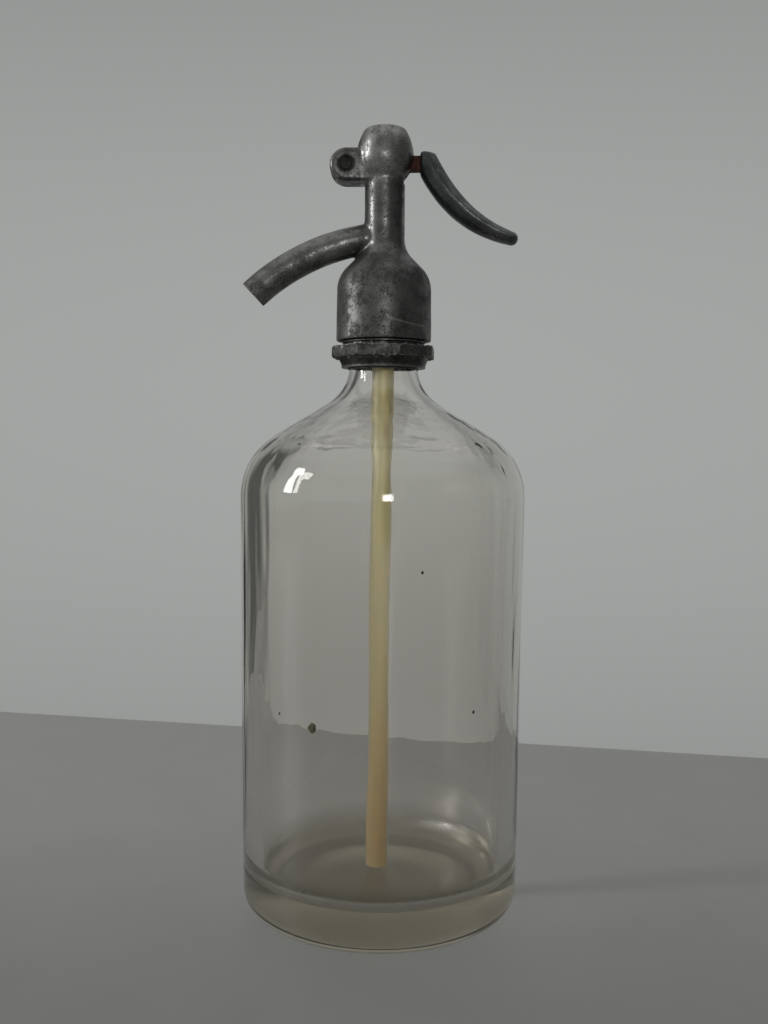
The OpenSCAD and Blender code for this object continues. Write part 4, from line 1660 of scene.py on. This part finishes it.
@dataclass
class Lever:
    """The handle and the rusty bar that carries it."""

    root: Point = (14.3, 277.999)
    root_pull: Point = (20.5, 265.199)
    tip_pull: Point = (29.4, 253.799)
    tip: Point = (46.6, 248.899)
    root_depth: float = 8.6
    middle_depth: float = 8.2
    tip_depth: float = 4.9
    width: float = 11.0
    end_width: float = 8.4
    ridge: float = 0.25
    cut_x: float = 12.8
    cut_z: float = 279.499
    lead: float = 8.0
    stations: int = 28
    samples: int = 200
    tip_turns: tuple[int, ...] = (18, 36, 52, 66, 78)
    shank_w: float = 4.4
    shank_z: Point = (272.799, 278.199)
    eye_r: float = 4.0
    tang_l: float = 3.0
    eye_play: float = 0.05
    root_x: float = 26.0
    root_fade: float = 8.0
    root_rounds: int = 60
    cast_rounds: int = 3
    forged_rounds: int = 4
    handle_lumps: Point = (5.0, 0.14)
    flakes: Point = (1.5, 0.25)
    voxel: float = 0.26

    def way(self, t: float) -> Vector:
        """A point of the handle's centre curve.

        Args:
            t: Share of the way from the root, 0, to the tip, 1.

        Returns:
            The point in side view, in millimetres.
        """
        points = [Vector(p) for p in (self.root, self.root_pull, self.tip_pull, self.tip)]
        shares = ((1 - t) ** 3, 3 * t * (1 - t) ** 2, 3 * t * t * (1 - t), t ** 3)
        return sum((p * s for p, s in zip(points, shares)), Vector((0.0, 0.0)))

    def guide(self) -> bpy.types.Object:
        """The centre curve as a Blender curve that a straight bar is bent along.

        Returns:
            The curve object, from the root to the tip.
        """
        clear_selection()
        bpy.ops.curve.primitive_bezier_curve_add()
        curve = bpy.context.active_object
        curve.data.dimensions = "3D"
        curve.data.twist_mode = "Z_UP"
        curve.data.resolution_u = 64
        first, last = curve.data.splines[0].bezier_points
        for point, place, left, right in (
                (first, self.root, self.root, self.root_pull),
                (last, self.tip, self.tip_pull, self.tip)):
            point.handle_left_type = point.handle_right_type = "FREE"
            point.co = Vector((place[0], 0, place[1])) * MM
            point.handle_left = Vector((left[0], 0, left[1])) * MM
            point.handle_right = Vector((right[0], 0, right[1])) * MM
        return curve

    def section(self, sides: int = 40) -> list[Point]:
        """The unit section: a crowned top that meets the round underside in an edge.

        Args:
            sides: Number of faces of the underside.

        Returns:
            The corners in order, across and up, with half sizes of 1.
        """
        crown = [(-1 + 2 * i / 16, self.ridge + (1 - self.ridge) * (1 - (-1 + 2 * i / 16) ** 2))
                 for i in range(17)]
        belly = [(math.cos(math.pi * i / sides), self.ridge - (1 + self.ridge)
                  * math.sin(math.pi * i / sides)) for i in range(1, sides)]
        return crown + belly

    def straight_bar(self) -> bpy.types.Object:
        """The handle before it is bent: sections along +X, scaled at each station.

        Returns:
            The closed piece, which starts one lead before X = 0.
        """
        steps = [self.way(i / self.samples) for i in range(self.samples + 1)]
        run = [0.0]
        for a, b in zip(steps, steps[1:]):
            run.append(run[-1] + (b - a).length)
        section = self.section()
        clear_selection()
        bpy.ops.mesh.primitive_plane_add(size=MM, location=(-self.lead * MM, 0, 0))
        bar = settle("handle")
        enter(Mode.EDIT)
        bpy.ops.mesh.select_all(action="SELECT")
        bpy.ops.mesh.merge(type="CENTER")
        half_h, half_w = self.root_depth / 2, self.end_width / 2
        y, z = section[0]
        bpy.ops.transform.translate(value=(0, y * half_w * MM, z * half_h * MM))
        for (y, z), (next_y, next_z) in zip(section, section[1:]):
            step = (0, (next_y - y) * half_w * MM, (next_z - z) * half_h * MM)
            bpy.ops.mesh.extrude_region_move(TRANSFORM_OT_translate={"value": step})
        bpy.ops.mesh.select_all(action="SELECT")
        bpy.ops.mesh.edge_face_add()
        at, sizes = -self.lead, (half_w, half_h)
        for i in range(self.stations + 1):
            share = i / self.stations
            next_at = run[round(share * self.samples)]
            depth = self.blend(share, self.root_depth, self.middle_depth, self.tip_depth)
            width = self.blend(share, self.end_width, self.width, self.end_width)
            at, sizes = self.extend(at, sizes, next_at, (width / 2, depth / 2))
        tip_w, tip_h = sizes
        for turn in self.tip_turns:
            share = math.cos(math.radians(turn))
            next_at = run[-1] + tip_h * math.sin(math.radians(turn))
            at, sizes = self.extend(at, sizes, next_at, (tip_w * share, tip_h * share))
        close_up()
        enter(Mode.OBJECT)
        return bar

    @staticmethod
    def blend(share: float, root: float, middle: float, tip: float) -> float:
        """A smooth change from a root value by a middle one to a tip value."""
        return (root * (1 - share) * (1 - 2 * share) + 4 * middle * share * (1 - share)
                + tip * share * (2 * share - 1))

    @staticmethod
    def extend(at: float, sizes: Point, next_at: float, next_sizes: Point) -> tuple[float, Point]:
        """Extrudes the selected section along X and scales it to its next half sizes.

        Args:
            at: Where the section is along X, in millimetres.
            sizes: Its half width and half height.
            next_at: Where it goes.
            next_sizes: Its half sizes there.

        Returns:
            The new place and half sizes.
        """
        bpy.ops.mesh.extrude_region_move(
            TRANSFORM_OT_translate={"value": ((next_at - at) * MM, 0, 0)})
        bpy.ops.transform.resize(
            value=(1, next_sizes[0] / sizes[0], next_sizes[1] / sizes[1]),
            center_override=(next_at * MM, 0, 0))
        return next_at, next_sizes

    def handle(self) -> None:
        """Makes the handle: bent, cut off at its root and rounded."""
        bar = self.straight_bar()
        guide = self.guide()
        modify(bar, "CURVE", object=guide, deform_axis="POS_X")
        bpy.data.objects.remove(guide)
        take(bar)
        enter(Mode.EDIT)
        for place, normal in (((self.cut_x, 0, 0), (-1, 0, 0)), ((0, 0, self.cut_z), (0, 0, 1))):
            bpy.ops.mesh.select_all(action="SELECT")
            bpy.ops.mesh.bisect(plane_co=Vector(place) * MM, plane_no=normal, use_fill=True,
                                clear_outer=True, clear_inner=False)
        close_up()
        enter(Mode.OBJECT)
        modify(bar, "REMESH", mode="VOXEL", voxel_size=self.voxel * MM)
        mark(bar, "root", lambda p: (self.root_x - p.x) / self.root_fade)
        soften(bar, self.root_rounds, "root")
        soften(bar, self.cast_rounds)
        dent(bar, *self.handle_lumps)
        polish(bar, 40)
        HANDLE_PEWTER.dress(bar)
        place_piece(bar, Body.LEVER, "handle_pewter", "lever_handle")

    def shank(self) -> None:
        """Makes the bar with its eye and its tang."""
        low, high = self.shank_z
        half = self.shank_w / 2
        bar = block("shank", (PIVOT.x, -half, low), (self.cut_x + self.tang_l, half, high))
        carve(bar, PIVOT.bar("eye", self.eye_r, self.shank_w), how="UNION")
        carve(bar, PIVOT.bar("eye_bore", PIVOT.pin_r + self.eye_play, self.shank_w + 2 * OVER))
        modify(bar, "REMESH", mode="VOXEL", voxel_size=self.voxel * MM)
        soften(bar, self.forged_rounds)
        dent(bar, *self.flakes)
        polish(bar, 40)
        SHANK_RUST.dress(bar)
        place_piece(bar, Body.LEVER, "rusty_steel", "lever_shank")

    def build(self) -> None:
        """Makes both pieces."""
        self.handle()
        self.shank()


# --------------------------------------------------------------------------- the spring


@dataclass
class Spring:
    """The return spring, built at one length: nothing here shortens it as the plunger comes down.
    """

    wire_d: float = 0.9
    coil_d: float = 10.8
    live_turns: float = 3.5
    dead_turns: float = 0.75
    travel: float = 3.057
    wire_sides: int = 16
    steps_per_turn: int = 48

    def coil(self, name: str, start: float, turns: float, low: float,
             rise: float) -> bpy.types.Object:
        """Winds a stretch of the wire at one pitch.

        Args:
            name: Name of the stretch.
            start: Turn at which it begins, counted from +X.
            turns: Number of its turns.
            low: Height of the wire's middle at its start in millimetres.
            rise: How much higher it ends.

        Returns:
            The stretch, open at both ends.
        """
        clear_selection()
        around = FULL_TURN * start
        reach = self.coil_d / 2 * MM
        bpy.ops.mesh.primitive_circle_add(
            vertices=self.wire_sides, radius=self.wire_d / 2 * MM,
            location=(reach * math.cos(around), reach * math.sin(around), low * MM),
            rotation=(math.pi / 2, 0, around))
        piece = settle(name)
        modify(piece, "SCREW", axis="Z", angle=FULL_TURN * turns, screw_offset=rise * MM,
               steps=round(self.steps_per_turn * turns), render_steps=round(
                   self.steps_per_turn * turns), use_smooth_shade=True)
        return piece

    def build(self) -> None:
        """Makes the spring from two closed-up ends and the live turns between them."""
        low, high = (corner.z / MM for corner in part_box("return_spring"))
        foot = low + self.wire_d / 2
        dead_rise = self.wire_d * self.dead_turns
        live_rise = high - low - self.wire_d - 2 * dead_rise
        live_end = self.dead_turns + self.live_turns
        spring = join("spring", *(self.coil(*stretch) for stretch in (
            ("lower_end", 0.0, self.dead_turns, foot, dead_rise),
            ("live_turns", self.dead_turns, self.live_turns, foot + dead_rise, live_rise),
            ("upper_end", live_end, self.dead_turns, foot + dead_rise + live_rise, dead_rise))))
        enter(Mode.EDIT)
        bpy.ops.mesh.select_all(action="SELECT")
        bpy.ops.mesh.remove_doubles(threshold=WELD)
        bpy.ops.mesh.select_all(action="SELECT")
        bpy.ops.mesh.fill_holes(sides=0)
        close_up()
        enter(Mode.OBJECT)
        polish(spring, 50)
        SPRING_STEEL.dress(spring)
        place_piece(spring, Body.STILL, "spring_steel", "return_spring")
        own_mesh(spring)


# --------------------------------------------------------------------------- the dip tube


@dataclass
class DipTube:
    """The yellowed tube, which hangs a little out of true."""

    radius: float = 4.05
    bore_r: float = 2.6
    low_z: float = 15.0
    top_z: float = 212.549
    lean: float = -1.2
    edge: float = 0.3

    def build(self) -> None:
        """Makes the tube with worn ends and leans it."""
        edge = self.edge
        tube = turned("tube", [
            (self.bore_r + edge, self.low_z), (self.radius - edge, self.low_z),
            (self.radius, self.low_z + edge), (self.radius, self.top_z - edge),
            (self.radius - edge, self.top_z), (self.bore_r + edge, self.top_z),
            (self.bore_r, self.top_z - edge), (self.bore_r, self.low_z + edge),
            (self.bore_r + edge, self.low_z)], 64)
        turn = math.atan2(-self.lean, self.top_z - self.low_z)
        tube.rotation_euler = (0, turn, 0)
        lift = Vector((0, 0, self.top_z)) * MM
        tube.location = lift - Vector((math.sin(turn), 0, math.cos(turn))) * lift.z
        take(tube)
        bpy.ops.object.transform_apply(location=True, rotation=True, scale=True)
        polish(tube)
        AMBER.dress(tube)
        place_piece(tube, Body.STILL, "amber_tube", "dip_tube")


# --------------------------------------------------------------------------- the studio


@dataclass
class Studio:
    """Camera, floor, soft lights and the room around them."""

    focal_px: float = 1100.0
    frame_h_px: float = 1024.0
    sensor_mm: float = 36.0
    camera_at: tuple[float, float, float] = (0.63, -409.0, 172.0)
    pitch: float = 3.35
    roll: float = 0.47
    floor_size: float = 6000.0
    floor_turn: float = -11.4
    floor_edge: float = 237.0
    middle_z: float = 170.0
    brightest_up: float = 0.05
    fall_off: float = 1.9
    least_share: float = 0.5
    ceiling: float = 0.55
    ceiling_up: Point = (0.42, 0.85)
    tint: Colour = (0.965, 1.0, 0.97)
    room: tuple[tuple[float, float], ...] = (
        (-180, 0.28), (-150, 0.13), (-90, 0.12), (-70, 0.28), (-28, 0.37), (0, 0.385),
        (27, 0.37), (36, 0.08), (54, 0.08), (74, 0.26), (122, 0.42), (165, 0.34), (180, 0.28))

    def camera(self) -> None:
        """Places the camera where the photograph was taken from."""
        data = bpy.data.cameras.new("camera")
        data.sensor_fit = "VERTICAL"
        data.sensor_height = self.sensor_mm
        data.lens = self.focal_px / self.frame_h_px * self.sensor_mm
        data.clip_start = 0.01
        camera = bpy.data.objects.new("camera", data)
        bpy.context.scene.collection.objects.link(camera)
        camera.rotation_mode = "XYZ"
        camera.location = Vector(self.camera_at) * MM
        tilt = math.radians(90 - self.pitch)
        turn = math.radians(self.roll)
        basis = Matrix.Rotation(tilt, 4, "X") @ Matrix.Rotation(turn, 4, "Z")
        camera.rotation_euler = basis.to_euler("XYZ")
        bpy.context.scene.camera = camera

    def floor(self) -> None:
        """Lays the pale table top, whose far edge crosses the picture behind the bottle."""
        clear_selection()
        turn = math.radians(self.floor_turn)
        back = self.floor_edge - self.floor_size / 2
        bpy.ops.mesh.primitive_plane_add(
            size=self.floor_size * MM, rotation=(0, 0, turn),
            location=(-math.sin(turn) * back * MM, math.cos(turn) * back * MM, 0))
        floor = settle("floor")
        TABLE_TOP.dress(floor)

    def light(self, name: str, turn: float, height: float, away: float, size: Point,
              radiance: float) -> None:
        """Adds a rectangular soft light that faces the bottle.

        Args:
            name: Name of the light.
            turn: Direction it comes from, in degrees from the front to the left.
            height: How far up it is, in degrees.
            away: Its distance in millimetres.
            size: Width and height in degrees, as seen from the bottle.
            radiance: Brightness of its face.
        """
        data = bpy.data.lights.new(name, "AREA")
        data.shape = "RECTANGLE"
        wide, high = (2 * away * MM * math.tan(math.radians(s / 2)) for s in size)
        data.size, data.size_y = wide, high
        data.energy = radiance * math.pi * wide * high
        lamp = bpy.data.objects.new(name, data)
        bpy.context.scene.collection.objects.link(lamp)
        around, up = math.radians(turn), math.radians(height)
        towards = Vector((-math.sin(around) * math.cos(up), -math.cos(around) * math.cos(up),
                          math.sin(up)))
        lamp.location = towards * away * MM + Vector((0, 0, self.middle_z * MM))
        lamp.rotation_euler = (-towards).to_track_quat("-Z", "Y").to_euler()

    def walls(self) -> None:
        """The room as light from all around: pale behind the bottle, darker at both sides."""
        world = bpy.data.worlds.new("room")
        world.use_nodes = True
        g = Graph(world.node_tree)
        way = g.add("ShaderNodeTexCoord").outputs["Generated"]
        axes = g.axes(way)
        turn = g.math("ARCTAN2", g.math("MULTIPLY", axes["X"], -1.0), axes["Y"])
        share = g.math("MULTIPLY_ADD", turn, 1 / FULL_TURN, 0.5)
        ramp = g.add("ShaderNodeValToRGB", {"Fac": share})
        stops = ramp.color_ramp.elements
        while len(stops) < len(self.room):
            stops.new(0.5)
        for stop, (angle, tone) in zip(stops, self.room):
            stop.position = angle / 360 + 0.5
            stop.color = (*(tone * share for share in self.tint), 1.0)
        off_level = g.math("SUBTRACT", axes["Z"], self.brightest_up)
        fall = g.math("MULTIPLY_ADD", g.math("MULTIPLY", off_level, off_level),
                      -self.fall_off, 1.0)
        sides = g.blend(g.math("MAXIMUM", fall, self.least_share), (0.0, 0.0, 0.0),
                        ramp.outputs["Color"])
        whole = g.blend(g.remap(axes["Z"], *self.ceiling_up), sides, (self.ceiling,) * 3)
        sky = world.node_tree.nodes["Background"]
        g.feed(sky.inputs["Color"], whole)
        sky.inputs["Strength"].default_value = 1.0
        bpy.context.scene.world = world

    def build(self) -> None:
        """Makes the whole studio."""
        self.camera()
        self.floor()
        self.walls()
        self.light("window_left", turn=79, height=21, away=1500, size=(7.5, 30), radiance=14.0)
        self.light("window_behind", turn=-3, height=5, away=1900, size=(7, 10), radiance=13.0)
        bpy.context.scene.view_settings.view_transform = "Standard"


def dress_frame() -> None:
    """Gives every CAD node that stays a procedural finish."""
    finishes = {
        HEAD_PEWTER: ("head_casting",),
        HANDLE_PEWTER: ("lever_handle",),
        COLLAR_PEWTER: ("neck_collar", "split_ring_front", "split_ring_back"),
        PIN_STEEL: ("pivot_pin",),
        SHANK_RUST: ("lever_shank",),
        BRASS: ("valve_cage", "valve_seat", "plunger_rod", "piston_washer", "valve_holder",
                "valve_nut"),
        SPRING_STEEL: ("return_spring",),
        RUBBER: ("neck_gasket", "tube_sleeve", "piston_seal", "valve_disc"),
        FIBRE: ("cage_gasket", "seat_gasket"),
        AMBER: ("dip_tube",),
    }
    for finish, names in finishes.items():
        finish.dress(*(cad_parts[name] for name in names))


def main() -> None:
    """Builds the scene in order."""
    logging.basicConfig(level=logging.INFO, format="%(name)s: %(message)s")
    Studio().build()
    dress_frame()
    Bottle().build()
    Head().build()
    Collar().build()
    Lever().build()
    Spring().build()
    DipTube().build()


if __name__ == "__main__":
    main()
